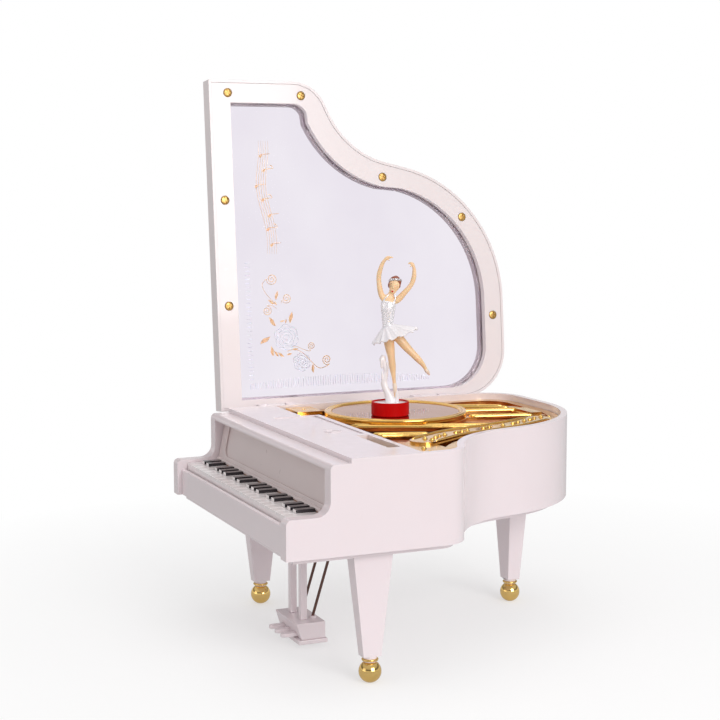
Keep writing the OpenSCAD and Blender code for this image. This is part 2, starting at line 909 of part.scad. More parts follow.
module dancer_dress() {
    color([0.95, 0.94, 0.96]) place()
        difference() {
            translate(fig(1.5, 0, 32.9))
                rotate([0, 0, pose_a])
                    rotate([0, -19, 0])
                        rotate_extrude()
                            polygon([[0, 2.6], [3, 2.4], [9.6, 0.6], [9.8, 0], [9.2, -0.4], [3, 0.6], [0, 0.8]]);
            trunk(0.06);
        }
}

module dancer_hair() {
    color([0.38, 0.18, 0.12]) place()
        difference() {
            union() {
                translate(fig(1.6, -0.6, 53)) sphere(r = 2.6, $fn = 20);
                translate(fig(1.9, -1.8, 55)) sphere(r = 1.5, $fn = 20);
            }
            head(0.05);
            limb(fig(-0.2, 0, 46), 1.7, fig(0.8, 0.2, 50), 1);
        }
}

module dancer_support() {
    foot_p = fig(-1.4, 0, 0);
    color([0.96, 0.95, 0.96]) place() {
        translate([foot_p[0], foot_p[1], stand_z])
            cylinder(r = 1.1, h = 2);
        limb(fig(-1.4, 0, 8), 1, fig(-3.9, 0, 13.3), 0.9);
        limb(fig(-3.9, 0, 13.3), 0.9, fig(-2.5, 0, 17.3), 0.9);
        limb(fig(-2.5, 0, 17.3), 0.9, fig(-3.9, 0, 22.2), 0.8);
        limb(fig(-3.9, 0, 22.2), 0.8, fig(-2.9, 0, 24.6), 0.8);
    }
}

module base_cup() {
    cup_wall = 0.7;
    color([0.74, 0.04, 0.06]) place()
        difference() {
            rod(dancer_c, base_r, base_z, base_z + base_h);
            rod(dancer_c, base_r - cup_wall, base_z + 0.8, base_z + base_h + 1);
        }
}

module base_disc() {
    color([0.95, 0.93, 0.93]) place()
        rod(dancer_c, base_r - 0.7, disc_z, disc_z + disc_t);
}

module magnet_pair(z, h) {
    place()
        for (s = [-1, 1])
            rod(dancer_c + [s * magnet_off, 0], magnet_r, z, z + h);
}

module base_magnets() {
    color(steel) magnet_pair(base_z + 0.8, magnet_h);
}

// ---------- movement ----------

module magnet_carrier() {
    color([0.20, 0.20, 0.22]) place()
        difference() {
            rod(ring_c, carrier_r, carrier_z, carrier_z + carrier_h);
            rod(ring_c, 1.5, carrier_z - 1, carrier_z + 1.5);
            for (s = [-1, 1])
                rod(dancer_c + [s * magnet_off, 0], magnet_r, carrier_z + carrier_h - magnet_h, carrier_z + 9);
        }
}

module drive_magnets() {
    color(steel) magnet_pair(carrier_z + carrier_h - magnet_h, magnet_h);
}

module spring_barrel() {
    skin = 0.8;
    color([0.78, 0.66, 0.36]) place()
        translate([ring_c[0], ring_c[1], 0]) {
            rotate_extrude($fn = 96)
                polygon([
                    [arbor_r + run_fit, barrel_z], [barrel_r, barrel_z], [barrel_r, flange_z],
                    [flange_r, flange_z], [flange_r, flange_z + 1.3], [barrel_r, flange_z + 1.3],
                    [barrel_r, barrel_z + barrel_h], [barrel_r - skin, barrel_z + barrel_h],
                    [barrel_r - skin, barrel_z + 1.2], [arbor_r + run_fit, barrel_z + 1.2]
                ]);
            for (i = [0:barrel_n - 1])
                rotate((i + 0.5) * 360 / barrel_n)
                    translate([pinion_x - ring_c[0], -0.2, flange_z + 1.2])
                        cube([1.2, 0.4, crown_top - flange_z - 1.2]);
        }
}

module barrel_cover() {
    z0 = barrel_z + barrel_h;
    color([0.78, 0.66, 0.36]) place() {
        rod(ring_c, barrel_r, z0, z0 + 1.2);
        rod(ring_c, 1.5, z0 + 1.2 - eps, carrier_z + 1.5);
    }
}

module mainspring() {
    turns = 7;
    steps = 24;
    r0 = 2.3;
    pitch = 0.95;
    strip = 0.3;
    inner = [for (i = [0:turns * steps]) let (a = 360 * i / steps) (r0 + pitch * i / steps) * [cos(a), sin(a)]];
    outer = [for (i = [turns * steps:-1:0])
        let (a = 360 * i / steps) (r0 + strip + pitch * i / steps) * [cos(a), sin(a)]];
    color([0.30, 0.32, 0.38]) place()
        translate([ring_c[0], ring_c[1], barrel_z + 1.8])
            linear_extrude(barrel_h - 2.6)
                polygon(concat(inner, outer));
}

module winding_arbor() {
    color(steel) place()
        rod(ring_c, arbor_r, z_cover - 4, barrel_z + barrel_h - 0.8);
}

module winding_key() {
    boss_r = 3;
    wing_t = 1.8;
    color(steel) place()
        translate([ring_c[0], ring_c[1], 0])
            difference() {
                union() {
                    rod([0, 0], boss_r, z_cover - 8, z_cover - 0.6);
                    translate([0, wing_t / 2, z_cover - 11])
                        rotate([90, 0, 0])
                            linear_extrude(wing_t)
                                difference() {
                                    union() {
                                        for (s = [-1, 1])
                                            translate([s * 6.4, 0]) circle(4.6);
                                        translate([-6.4, -2.2]) square([12.8, 5.4]);
                                    }
                                    for (s = [-1, 1])
                                        translate([s * 7, 0]) circle(1.8);
                                }
                }
                rod([0, 0], arbor_r, z_cover - 4, z_cover);
            }
}

module movement_bedplate() {
    color([0.70, 0.70, 0.70]) place()
        difference() {
            translate([bed_x0, bed_y0, bed_z])
                cube([bed_x1 - bed_x0, bed_y1 - bed_y0, bed_t]);
            rod(ring_c, arbor_r + run_fit, bed_z - 1, bed_top + 1);
            rod([worm_x, worm_y], pivot_r + pivot_fit, bed_z - 1, bed_top + 1);
            for (p = bed_screw_ps)
                rod(p, screw_r, bed_z - 1, bed_top + 1);
            // Room for the drum's wheel
            translate([68.3, ring_c[1] - 3.5, bed_top - 0.8])
                cube([2.2, 7, 2]);
        }
}

// A short round hole along x for a shaft at plan line y
module x_hole(x, y, r, l) {
    translate([x, y, axis_z])
        rotate([0, 90, 0])
            cylinder(r = r, h = l);
}

module drum_bracket() {
    color(steel) place()
        difference() {
            translate([47.4, ring_c[1] - 4, bed_top]) cube([1.2, 8, 10.3]);
            x_hole(46, ring_c[1], drum_shaft_r + run_fit, 4);
        }
}

module train_bracket() {
    color(steel) place()
        difference() {
            translate([71, ring_c[1] - 4, bed_top]) cube([1.2, 16, 10.3]);
            x_hole(70, ring_c[1], drum_shaft_r + run_fit, 4);
            x_hole(70, second_y, second_shaft_r + run_fit, 4);
        }
}

module governor_bracket() {
    x0 = 78.2;
    arm_z = bed_top + 15.8;
    color(steel) place()
        difference() {
            union() {
                translate([x0, second_y - 3, bed_top]) cube([1.2, 11.5, 17]);
                translate([worm_x - 2.4, worm_y - 2.4, arm_z]) cube([x0 - worm_x + 3.6, 4.8, 1.2]);
            }
            x_hole(x0 - 1, second_y, second_shaft_r + run_fit, 4);
            rod([worm_x, worm_y], pivot_r + pivot_fit, arm_z - 1, arm_z + 3);
        }
}

module pinned_drum() {
    tracks = notes;
    step = (drum_x1 - drum_x0 - 1.4) / (tracks - 1);
    color([0.82, 0.70, 0.40]) place()
        translate([0, ring_c[1], axis_z])
            difference() {
                union() {
                    translate([drum_x0, 0, 0])
                        rotate([0, 90, 0]) cylinder(r = drum_r, h = drum_x1 - drum_x0, $fn = 64);
                    for (i = [0:tracks - 1], k = [0:3])
                        translate([drum_x0 + 0.7 + i * step, 0, 0])
                            rotate([90 * k + 12 + (i * 29 + k * 17) % 66, 0, 0])
                                translate([0, 0, drum_r - 0.4])
                                    cylinder(r = 0.2, h = drum_pin_h + 0.4, $fn = 16);
                }
                translate([drum_x0 - 1, 0, 0])
                    rotate([0, 90, 0]) cylinder(r = drum_shaft_r, h = drum_x1 - drum_x0 + 2);
            }
}

module drum_arbor() {
    color(steel) place()
        translate([0, ring_c[1], axis_z]) {
            translate([pinion_x - 0.2, 0, 0])
                rotate([0, 90, 0])
                    cylinder(r = drum_shaft_r, h = 72.5 - pinion_x);
            along_x(pinion_x, pinion_x + pinion_w) gear2d(drum_pinion_n, 2.5, 0.4, 0.5);
        }
}

module drum_wheel() {
    color([0.80, 0.68, 0.38]) place()
        translate([0, ring_c[1], axis_z])
            along_x(68.8, 70)
                difference() {
                    rotate(180 / drum_wheel_n) gear2d(drum_wheel_n, 7.2, 0.32, 0.44);
                    circle(drum_shaft_r);
                }
}

module second_arbor() {
    color(steel) place()
        translate([0, second_y, axis_z]) {
            translate([68.4, 0, 0]) rotate([0, 90, 0]) cylinder(r = second_shaft_r, h = 11);
            along_x(68.7, 70.2)
                rotate(180 / second_n) gear2d(second_n, 1.8, 0.32, 0.44);
        }
}

module worm_wheel() {
    color([0.88, 0.86, 0.80]) place()
        translate([0, second_y, axis_z])
            along_x(73, 74)
                difference() {
                    gear2d(worm_wheel_n, 4, 0.35, 0.55, 0.28, 0.12);
                    circle(second_shaft_r);
                }
}

module governor_spindle() {
    worm_h = 6;
    worm_z = axis_z - worm_h / 2;
    pitch = PI * worm_module;
    color(steel) place() {
        rod([worm_x, worm_y], pivot_r, bed_z + 0.6, bed_top + 17);
        rod([worm_x, worm_y], second_shaft_r, bed_top + 0.4, bed_top + 15.4);
        translate([worm_x, worm_y, worm_z])
            rotate(90 - 360 * (axis_z - worm_z) / pitch)
                linear_extrude(worm_h, twist = -360 * worm_h / pitch, slices = 72, $fn = 14)
                    translate([worm_ecc, 0]) circle(worm_r);
    }
}

module air_brake() {
    z0 = bed_top + 12.2;
    h = 2.8;
    color([0.85, 0.84, 0.80]) place()
        translate([worm_x, worm_y, z0])
            difference() {
                union() {
                    cylinder(r = 1.5, h = h);
                    translate([-4, -0.25, 0]) cube([8, 0.5, h]);
                }
                translate([0, 0, -1]) cylinder(r = second_shaft_r, h = h + 2);
            }
}

comb_tip = ring_c[1] - drum_r - drum_pin_h - 0.08;
comb_y0 = bed_y0 + 1;
comb_z = axis_z - 0.6;
comb_t = 0.9;
comb_screw_xs = [53.5, 63.9];

module comb() {
    root_y = comb_y0 + 4.6;
    pitch = (drum_x1 - drum_x0 - 1.4) / (notes - 1);
    x0 = drum_x0 + 0.7 - pitch / 2;
    color(steel) place()
        difference() {
            translate([x0, comb_y0, comb_z])
                cube([notes * pitch, comb_tip - comb_y0, comb_t]);
            for (i = [1:notes - 1])
                translate([x0 + i * pitch - 0.14, root_y, comb_z - 1])
                    cube([0.28, 20, 3]);
            for (x = comb_screw_xs)
                rod([x, comb_y0 + 2.2], screw_r, comb_z - 1, comb_z + 2);
        }
}

module comb_block() {
    color([0.66, 0.66, 0.66]) place()
        difference() {
            translate([drum_x0, comb_y0 - 0.4, bed_top])
                cube([drum_x1 - drum_x0, 5, comb_z - bed_top]);
            for (x = comb_screw_xs)
                rod([x, comb_y0 + 2.2], screw_r, bed_top + 1, comb_z + 1);
        }
}

// A pan-head screw: head against z1 or z0, shank along +z
module screw_up(p, z_head, z_tip) {
    rod(p, head_r, z_head - head_h, z_head);
    rod(p, screw_r, z_head - eps, z_tip);
}

module comb_screws() {
    color(steel) place()
        for (x = comb_screw_xs) {
            rod([x, comb_y0 + 2.2], 2, comb_z + comb_t, comb_z + comb_t + 1);
            rod([x, comb_y0 + 2.2], screw_r, bed_top + 1.5, comb_z + comb_t + eps);
        }
}

module movement_screws() {
    color(steel) place()
        for (p = bed_screw_ps)
            screw_up(p, z_cover + head_h, bed_top);
}

module cover_screws() {
    color(steel) place()
        for (p = cover_screw_ps)
            screw_up(p, z_cover + head_h, z_case + 10);
}

module leg_screws() {
    color(steel) place()
        for (p = [leg_bass, leg_treble, leg_back]) {
            rod(p, head_r, z_case, z_case + head_h);
            rod(p, screw_r, z_cover - 11, z_case + eps);
        }
}

case_shell();
bottom_cover();
key_bed();
white_keys();
black_keys();
fallboard();
top_deck();
music_desk();
harp_plate();
mirror_ring();
mirror();
soundboard();
leg_bass_front();
leg_treble_front();
leg_tail();
foot_bass_front();
foot_treble_front();
foot_tail();
lyre_posts();
lyre_box();
lyre_base();
pedals();
brace_rods();
lid_shell();
lid_pane();
lid_bezel();
lid_screws();
hinge_pins();
dancer_figure();
dancer_dress();
dancer_hair();
dancer_support();
base_cup();
base_disc();
base_magnets();
magnet_carrier();
drive_magnets();
spring_barrel();
barrel_cover();
mainspring();
winding_arbor();
winding_key();
pinned_drum();
drum_arbor();
drum_wheel();
second_arbor();
worm_wheel();
governor_spindle();
air_brake();
movement_bedplate();
drum_bracket();
train_bracket();
governor_bracket();
comb();
comb_block();
comb_screws();
movement_screws();
cover_screws();
leg_screws();
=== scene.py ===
import bpy
import bmesh
import json
import random
from math import cos, pi, radians, sin, sqrt
from mathutils import Matrix, Vector


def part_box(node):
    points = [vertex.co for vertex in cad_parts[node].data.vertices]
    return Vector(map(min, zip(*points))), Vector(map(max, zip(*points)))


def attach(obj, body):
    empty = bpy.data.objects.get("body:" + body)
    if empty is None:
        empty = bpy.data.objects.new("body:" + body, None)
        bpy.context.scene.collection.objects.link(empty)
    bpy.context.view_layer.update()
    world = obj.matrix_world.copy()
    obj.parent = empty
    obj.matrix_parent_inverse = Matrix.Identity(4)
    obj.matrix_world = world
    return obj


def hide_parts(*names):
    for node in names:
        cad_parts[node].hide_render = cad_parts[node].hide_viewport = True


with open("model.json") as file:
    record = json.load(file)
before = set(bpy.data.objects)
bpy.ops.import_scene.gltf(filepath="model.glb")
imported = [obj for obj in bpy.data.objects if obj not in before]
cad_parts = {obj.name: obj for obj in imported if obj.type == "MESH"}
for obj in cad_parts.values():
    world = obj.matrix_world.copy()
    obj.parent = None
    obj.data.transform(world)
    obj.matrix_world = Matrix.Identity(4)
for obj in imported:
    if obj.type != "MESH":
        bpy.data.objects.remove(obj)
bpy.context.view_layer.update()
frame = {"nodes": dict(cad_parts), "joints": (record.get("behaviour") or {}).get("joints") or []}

MM = 0.001
rng = random.Random(7)

# ---------------------------------------------------------------------------
# The case's own corner frame: x from the bass side, y from the cheek fronts, z from the ground, in mm
# ---------------------------------------------------------------------------

CASE_W = 130
case_low, case_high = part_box("case_shell")
CORNER = Vector((case_high.x - CASE_W * MM, case_low.y, 0))
JOINTS = {j["name"]: j for j in frame["joints"]}


def at(x, y, z):
    return CORNER + Vector((x, y, z)) * MM


def to_case(p):
    return (Vector(p) - CORNER) / MM


def node_box(node):
    low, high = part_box(node)
    return to_case(low), to_case(high)


Z_RIM = to_case(case_high).z
MIRROR_LOW, MIRROR_HIGH = node_box("mirror")
MIRROR_TOP = MIRROR_HIGH.z
RING = (MIRROR_LOW + MIRROR_HIGH) / 2
MIRROR_R = (MIRROR_HIGH.x - MIRROR_LOW.x) / 2

# ---------------------------------------------------------------------------
# Camera: the photograph's viewing angle
# ---------------------------------------------------------------------------

CAM_AZ, CAM_EL, CAM_ROLL = radians(66.42), radians(6.54), radians(-0.09)
CAM_AT = (604.9, -180.1, 175.2)
CAM_LENS = 77.04


def make_camera():
    back = Vector((sin(CAM_AZ) * cos(CAM_EL), -cos(CAM_AZ) * cos(CAM_EL), sin(CAM_EL)))
    right = Vector((0, 0, 1)).cross(back).normalized()
    up = back.cross(right)
    r = right * cos(CAM_ROLL) + up * sin(CAM_ROLL)
    u = up * cos(CAM_ROLL) - right * sin(CAM_ROLL)
    data = bpy.data.cameras.new("camera")
    data.lens = CAM_LENS
    data.sensor_width = 36
    data.clip_start = 0.01
    cam = bpy.data.objects.new("camera", data)
    turn = Matrix((r, u, back)).transposed().to_4x4()
    cam.matrix_world = Matrix.Translation(at(*CAM_AT)) @ turn
    bpy.context.scene.collection.objects.link(cam)
    bpy.context.scene.camera = cam


make_camera()

# ---------------------------------------------------------------------------
# Materials
# ---------------------------------------------------------------------------


class Nodes:
    """A short way to build a node material on Principled BSDF."""

    def __init__(self, name):
        self.mat = bpy.data.materials.new(name)
        self.mat.use_nodes = True
        self.tree = self.mat.node_tree
        self.shader = next(n for n in self.tree.nodes if n.type == "BSDF_PRINCIPLED")
        self.coords = self.add("ShaderNodeTexCoord").outputs["Object"]

    def add(self, kind, **values):
        node = self.tree.nodes.new(kind)
        for key, value in values.items():
            setattr(node, key, value)
        return node

    def link(self, a, b):
        self.tree.links.new(a, b)

    def set(self, **values):
        for key, value in values.items():
            self.shader.inputs[key.replace("_", " ")].default_value = value

    def noise(self, scale, detail=4, rough=0.55, coords=None, stretch=None):
        node = self.add("ShaderNodeTexNoise")
        node.inputs["Scale"].default_value = scale
        node.inputs["Detail"].default_value = detail
        node.inputs["Roughness"].default_value = rough
        source = coords or self.coords
        if stretch:
            mapping = self.add("ShaderNodeMapping")
            mapping.inputs["Scale"].default_value = stretch
            self.link(source, mapping.inputs["Vector"])
            source = mapping.outputs["Vector"]
        self.link(source, node.inputs["Vector"])
        return node.outputs["Fac"]

    def ramp(self, fac, *stops):
        node = self.add("ShaderNodeValToRGB")
        ramp = node.color_ramp
        while len(ramp.elements) < len(stops):
            ramp.elements.new(0.5)
        for element, (place, colour) in zip(ramp.elements, stops):
            element.position = place
            element.color = (*colour, 1) if len(colour) == 3 else colour
        self.link(fac, node.inputs["Fac"])
        return node.outputs["Color"]

    def span(self, fac, low, high, start=0.0, end=1.0):
        node = self.add("ShaderNodeMapRange")
        node.inputs["From Min"].default_value = start
        node.inputs["From Max"].default_value = end
        node.inputs["To Min"].default_value = low
        node.inputs["To Max"].default_value = high
        self.link(fac, node.inputs["Value"])
        return node.outputs["Result"]

    def colour(self, out):
        self.link(out, self.shader.inputs["Base Color"])

    def rough(self, out):
        self.link(out, self.shader.inputs["Roughness"])

    def bump(self, height, distance, strength=1.0, after=None):
        node = self.add("ShaderNodeBump")
        node.inputs["Distance"].default_value = distance
        node.inputs["Strength"].default_value = strength
        self.link(height, node.inputs["Height"])
        if after:
            self.link(after, node.inputs["Normal"])
        self.link(node.outputs["Normal"], self.shader.inputs["Normal"])
        return node.outputs["Normal"]


def shade(c, k):
    return tuple(max(0.0, min(1.0, v * k)) for v in c)


def gloss_plastic(name, base, rough=0.22, tint=0.012, wave=0.000003, coat=0.4, glow=0.08, ior=1.5):
    """Injection-moulded gloss plastic: slight flow marks, a faint ripple and fine handling haze."""
    m = Nodes(name)
    flow = m.noise(38, 5, 0.6)
    pale, dull = shade(base, 1 + tint * 0.6), shade(base, 1 - tint)
    m.colour(m.ramp(flow, (0.3, dull), (0.5, base), (0.72, pale)))
    haze = m.noise(240, 6, 0.65)
    m.rough(m.span(haze, rough * 0.9, rough * 1.15, 0.3, 0.7))
    grain = m.bump(m.noise(2400, 2, 0.5), 0.0000012, 0.4)
    m.bump(m.noise(85, 2, 0.4), wave, 0.6, grain)
    m.set(Coat_Weight=coat, Coat_Roughness=0.06, IOR=ior)
    if glow:
        m.set(Subsurface_Weight=glow, Subsurface_Scale=0.002)
        m.shader.inputs["Subsurface Radius"].default_value = (1.0, 0.75, 0.7)
    return m.mat


def plated_gold(name, base, rough=0.13, ripple=0.00009, scale=120):
    """Vacuum-metallised plastic: bright, slightly wavy, with tiny pits and duller patches."""
    m = Nodes(name)
    tone = m.noise(60, 5, 0.6)
    m.colour(m.ramp(tone, (0.25, shade(base, 0.82)), (0.5, base), (0.8, shade(base, 1.12))))
    m.rough(m.span(m.noise(300, 6, 0.7), rough * 0.6, rough * 1.9, 0.3, 0.75))
    pits = m.bump(m.noise(2600, 3, 0.6), 0.000008, 0.6)
    m.bump(m.noise(scale, 2, 0.5), ripple, 0.7, pits)
    m.set(Metallic=1.0)
    return m.mat


def metal(name, base, rough=0.28, stretch=(1, 1, 14), grain=900):
    """Drawn or rolled metal with fine directional marks."""
    m = Nodes(name)
    marks = m.noise(grain, 5, 0.65, stretch=stretch)
    m.colour(m.ramp(marks, (0.3, shade(base, 0.8)), (0.7, shade(base, 1.08))))
    m.rough(m.span(m.noise(180, 4, 0.6), rough * 0.7, rough * 1.4, 0.3, 0.7))
    m.bump(marks, 0.00001, 0.5)
    m.set(Metallic=1.0)
    return m.mat


def painted(name, base, tint=0.08, rough=0.45, scale=160, blush=None, coat=0.15):
    """Hand-painted plastic: brush streaks and small changes of tone."""
    m = Nodes(name)
    tone = m.noise(scale, 5, 0.6)
    high = blush or shade(base, 1 + tint)
    m.colour(m.ramp(tone, (0.28, shade(base, 1 - tint)), (0.5, base), (0.78, high)))
    m.rough(m.span(m.noise(700, 4, 0.6), rough * 0.75, rough * 1.25, 0.3, 0.7))
    m.bump(m.noise(1500, 4, 0.6), 0.00001, 0.5)
    m.set(Coat_Weight=coat, Coat_Roughness=0.2, Subsurface_Weight=0.1, Subsurface_Scale=0.001)
    return m.mat


def mirror_glass():
    m = Nodes("mirror_glass")
    smear = m.noise(45, 5, 0.6, stretch=(1, 2.4, 1))
    m.colour(m.ramp(smear, (0.35, (0.66, 0.56, 0.50)), (0.7, (0.74, 0.65, 0.60))))
    m.rough(m.span(m.noise(90, 6, 0.7), 0.015, 0.07, 0.35, 0.8))
    m.set(Metallic=1.0)
    m.shader.inputs["Specular Tint"].default_value = (0.80, 0.68, 0.60, 1)
    return m.mat


def clear_pane():
    """Clear acrylic: a faint lilac cast, fine hazy smears."""
    m = Nodes("pane_clear")
    m.colour(m.ramp(m.noise(30, 4, 0.5), (0.3, (0.82, 0.775, 0.85)), (0.7, (0.86, 0.82, 0.885))))
    m.rough(m.span(m.noise(140, 5, 0.65), 0.02, 0.09, 0.35, 0.8))
    m.bump(m.noise(60, 2, 0.4), 0.00002, 0.4)
    m.set(Transmission_Weight=1.0, IOR=1.03)
    m.shader.inputs["Specular IOR Level"].default_value = 0.5
    return m.mat


def glitter():
    """White satin paint with silver glitter flakes."""
    m = Nodes("dress_glitter")
    cells = m.add("ShaderNodeTexVoronoi")
    cells.inputs["Scale"].default_value = 3400
    m.link(m.coords, cells.inputs["Vector"])
    flakes = m.ramp(cells.outputs["Color"], (0.45, (0, 0, 0)), (0.6, (1, 1, 1)))
    mix = m.add("ShaderNodeMix", data_type="RGBA")
    m.link(flakes, mix.inputs["Factor"])
    mix.inputs[6].default_value = (0.90, 0.86, 0.90, 1)
    mix.inputs[7].default_value = (0.98, 0.98, 1.0, 1)
    m.colour(mix.outputs[2])
    m.link(m.span(flakes, 0.0, 0.85), m.shader.inputs["Metallic"])
    m.rough(m.span(flakes, 0.45, 0.16))
    m.bump(cells.outputs["Distance"], 0.00006, 0.8)
    return m.mat


WHITE = gloss_plastic("white_plastic", (0.84, 0.745, 0.77))
WHITE_LID = gloss_plastic("white_lid", (0.84, 0.76, 0.765), rough=0.24)
KEY_WHITE = gloss_plastic("key_white", (0.88, 0.83, 0.83), rough=0.16)
KEY_BLACK = gloss_plastic("key_black", (0.018, 0.014, 0.018), rough=0.18, tint=0.2, glow=0)
FALLBOARD = gloss_plastic("fallboard_plastic", (0.74, 0.63, 0.62), rough=0.3)
GOLD = plated_gold("gold_plate", (0.86, 0.55, 0.17))
GOLD_BALL = plated_gold("gold_ball", (0.90, 0.62, 0.22), rough=0.09, ripple=0.00003)
GOLD_SCREW = plated_gold("gold_screw", (0.60, 0.38, 0.13), rough=0.34, ripple=0.00001, scale=900)
RED_BOARD = gloss_plastic("red_board", (0.46, 0.10, 0.035), rough=0.45, tint=0.2, coat=0.05, glow=0)
FELT = painted("key_felt", (0.32, 0.13, 0.05), tint=0.3, rough=0.7, scale=900, coat=0)
MIRROR = mirror_glass()
PANE = clear_pane()
STEEL = metal("steel", (0.62, 0.62, 0.64))
ZINC = metal("zinc", (0.42, 0.42, 0.43), rough=0.42, stretch=(1, 1, 1), grain=500)
BRASS = metal("brass_part", (0.72, 0.52, 0.22), rough=0.3)
SPRING = metal("spring_steel", (0.12, 0.16, 0.28), rough=0.3)
MAGNET = metal("magnet", (0.55, 0.55, 0.57), rough=0.18)
CARRIER = painted("carrier_plastic", (0.03, 0.03, 0.034), rough=0.5)
NYLON = gloss_plastic("nylon", (0.80, 0.74, 0.62), rough=0.4, glow=0.2)
BROWN = painted("brace_brown", (0.10, 0.035, 0.022), rough=0.35)
SKIN = painted("skin", (0.90, 0.62, 0.36), tint=0.05, rough=0.42, blush=(0.95, 0.70, 0.46))
HAIR = painted("hair_paint", (0.30, 0.075, 0.03), tint=0.25, rough=0.4, scale=700)
LIPS = painted("lips", (0.62, 0.02, 0.02), rough=0.35)
EYES = painted("eyes", (0.08, 0.05, 0.05), rough=0.3)
PEARL = gloss_plastic("pearl_white", (0.88, 0.85, 0.88), rough=0.28, coat=0.7)
GLITTER = glitter()
RED = gloss_plastic("red_base", (0.50, 0.002, 0.002), rough=0.42, tint=0.12, coat=0.02, glow=0, ior=1.22)
RED.node_tree.nodes["Principled BSDF"].inputs["Specular IOR Level"].default_value = 0.25
DISC = gloss_plastic("white_disc", (0.86, 0.82, 0.80), rough=0.3)
BAND = metal("hair_band", (0.70, 0.68, 0.70), rough=0.3)
SHOE = painted("shoe_satin", (0.86, 0.70, 0.58), rough=0.3, coat=0.5)
PRINT_GOLD = painted("print_gold", (0.74, 0.47, 0.24), tint=0.16, rough=0.35, scale=420)
# pale colour for the lines along the pane's flutes: a painted highlight of the moulded flutes, not print
FLUTE_HIGHLIGHT_PAINT = painted("flute_painted_highlight", (0.74, 0.74, 0.82), tint=0.06, rough=0.35, scale=420)
PRINT_SILVER = painted("print_silver", (0.66, 0.69, 0.74), tint=0.1, rough=0.35, scale=420)

# ---------------------------------------------------------------------------
# Mesh tools
# ---------------------------------------------------------------------------


def new_object(name, mesh):
    ob = bpy.data.objects.new(name, mesh)
    bpy.context.scene.collection.objects.link(ob)
    return ob


def smooth(mesh, on=True):
    mesh.polygons.foreach_set("use_smooth", [on] * len(mesh.polygons))


def add_bevel(ob, width, segments=3, angle=30, clamp=True):
    b = ob.modifiers.new("edge", "BEVEL")
    b.width = width * MM
    b.segments = segments
    b.limit_method = "ANGLE"
    b.angle_limit = radians(angle)
    b.use_clamp_overlap = clamp
    b.harden_normals = True
    b.miter_outer = "MITER_ARC"
    w = ob.modifiers.new("normals", "WEIGHTED_NORMAL")
    w.keep_sharp = True
    return ob


def finish_piece(ob, body, material, slot, *nodes):
    ob.data.materials.clear()
    ob.data.materials.append(material)
    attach(ob, body)
    if nodes:
        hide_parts(*nodes)
    return ob


def refined(node, body, material, slot, bevel=0.35, segments=3, clamp=True):
    """The CAD node's own shape with its edges rounded and its curves shaded smooth."""
    bm = bmesh.new()
    bm.from_mesh(frame["nodes"][node].data)
    bmesh.ops.remove_doubles(bm, verts=bm.verts, dist=1e-6)
    bmesh.ops.dissolve_limit(bm, angle_limit=radians(0.4), verts=bm.verts, edges=bm.edges)
    bmesh.ops.recalc_face_normals(bm, faces=bm.faces)
    mesh = bpy.data.meshes.new(node + "_piece")
    bm.to_mesh(mesh)
    bm.free()
    smooth(mesh)
    ob = new_object(node + "_piece", mesh)
    add_bevel(ob, bevel, segments, clamp=clamp)
    return finish_piece(ob, body, material, slot, node)


def skin_node(node, material):
    """The CAD node stays as it is and gets its own material."""
    ob = frame["nodes"][node]
    ob.data.materials.clear()
    ob.data.materials.append(material)


for node, bevel in [
    ("case_shell", 0.5), ("bottom_cover", 0.4), ("key_bed", 0.3), ("top_deck", 0.3),
    ("music_desk", 0.3), ("leg_bass_front", 0.4), ("leg_treble_front", 0.4), ("leg_tail", 0.4),
    ("lyre_posts", 0.2), ("lyre_box", 0.3), ("lyre_base", 0.3), ("pedals", 0.25),
]:
    body = "desk" if node == "music_desk" else "root"
    refined(node, body, WHITE, "white_plastic", bevel)
refined("lid_shell", "lid", WHITE_LID, "white_plastic", 0.6)
refined("lid_bezel", "lid", WHITE_LID, "white_plastic", 0.3)
refined("lid_pane", "lid", PANE, "pane_clear", 0.15)
refined("white_keys", "root", KEY_WHITE, "key_white", 0.12, 2)


def make_black_keys():
    """Pale bars with dark printed tops."""
    ob = refined("black_keys", "root", KEY_BLACK, "key_black", 0.18)
    ob.data.materials.append(KEY_WHITE)
    for face in ob.data.polygons:
        face.material_index = 0 if face.normal.z > 0.5 or abs(face.normal.x) > 0.5 else 1


make_black_keys()
refined("fallboard", "root", FALLBOARD, "fallboard_plastic", 0.25)
refined("harp_plate", "root", GOLD, "gold_plate", 0.25)

for node, material in {
    "mirror": MIRROR, "soundboard": RED_BOARD,
    "brace_rods": BROWN, "hinge_pins": STEEL,
    "base_disc": DISC, "base_magnets": MAGNET, "magnet_carrier": CARRIER,
    "drive_magnets": MAGNET, "spring_barrel": BRASS, "barrel_cover": BRASS, "mainspring": SPRING,
    "winding_arbor": STEEL, "winding_key": STEEL, "pinned_drum": BRASS, "drum_arbor": STEEL,
    "drum_wheel": BRASS, "second_arbor": STEEL, "worm_wheel": NYLON, "governor_spindle": STEEL,
    "air_brake": NYLON, "movement_bedplate": ZINC, "drum_bracket": STEEL, "train_bracket": STEEL,
    "governor_bracket": STEEL, "comb": STEEL, "comb_block": ZINC, "comb_screws": STEEL,
    "movement_screws": STEEL, "cover_screws": STEEL, "leg_screws": STEEL,
}.items():
    skin_node(node, material)

# ---------------------------------------------------------------------------
# Shapes
# ---------------------------------------------------------------------------


def piece(name, bm, body, material, slot, *nodes, shaded=True):
    """Turns a finished bmesh, drawn in case mm, into a piece with its material, attached to its body."""
    bmesh.ops.recalc_face_normals(bm, faces=bm.faces)
    mesh = bpy.data.meshes.new(name)
    bm.to_mesh(mesh)
    bm.free()
    mesh.transform(Matrix.Translation(CORNER) @ Matrix.Scale(MM, 4))
    smooth(mesh, shaded)
    return finish_piece(new_object(name, mesh), body, material, slot, *nodes)


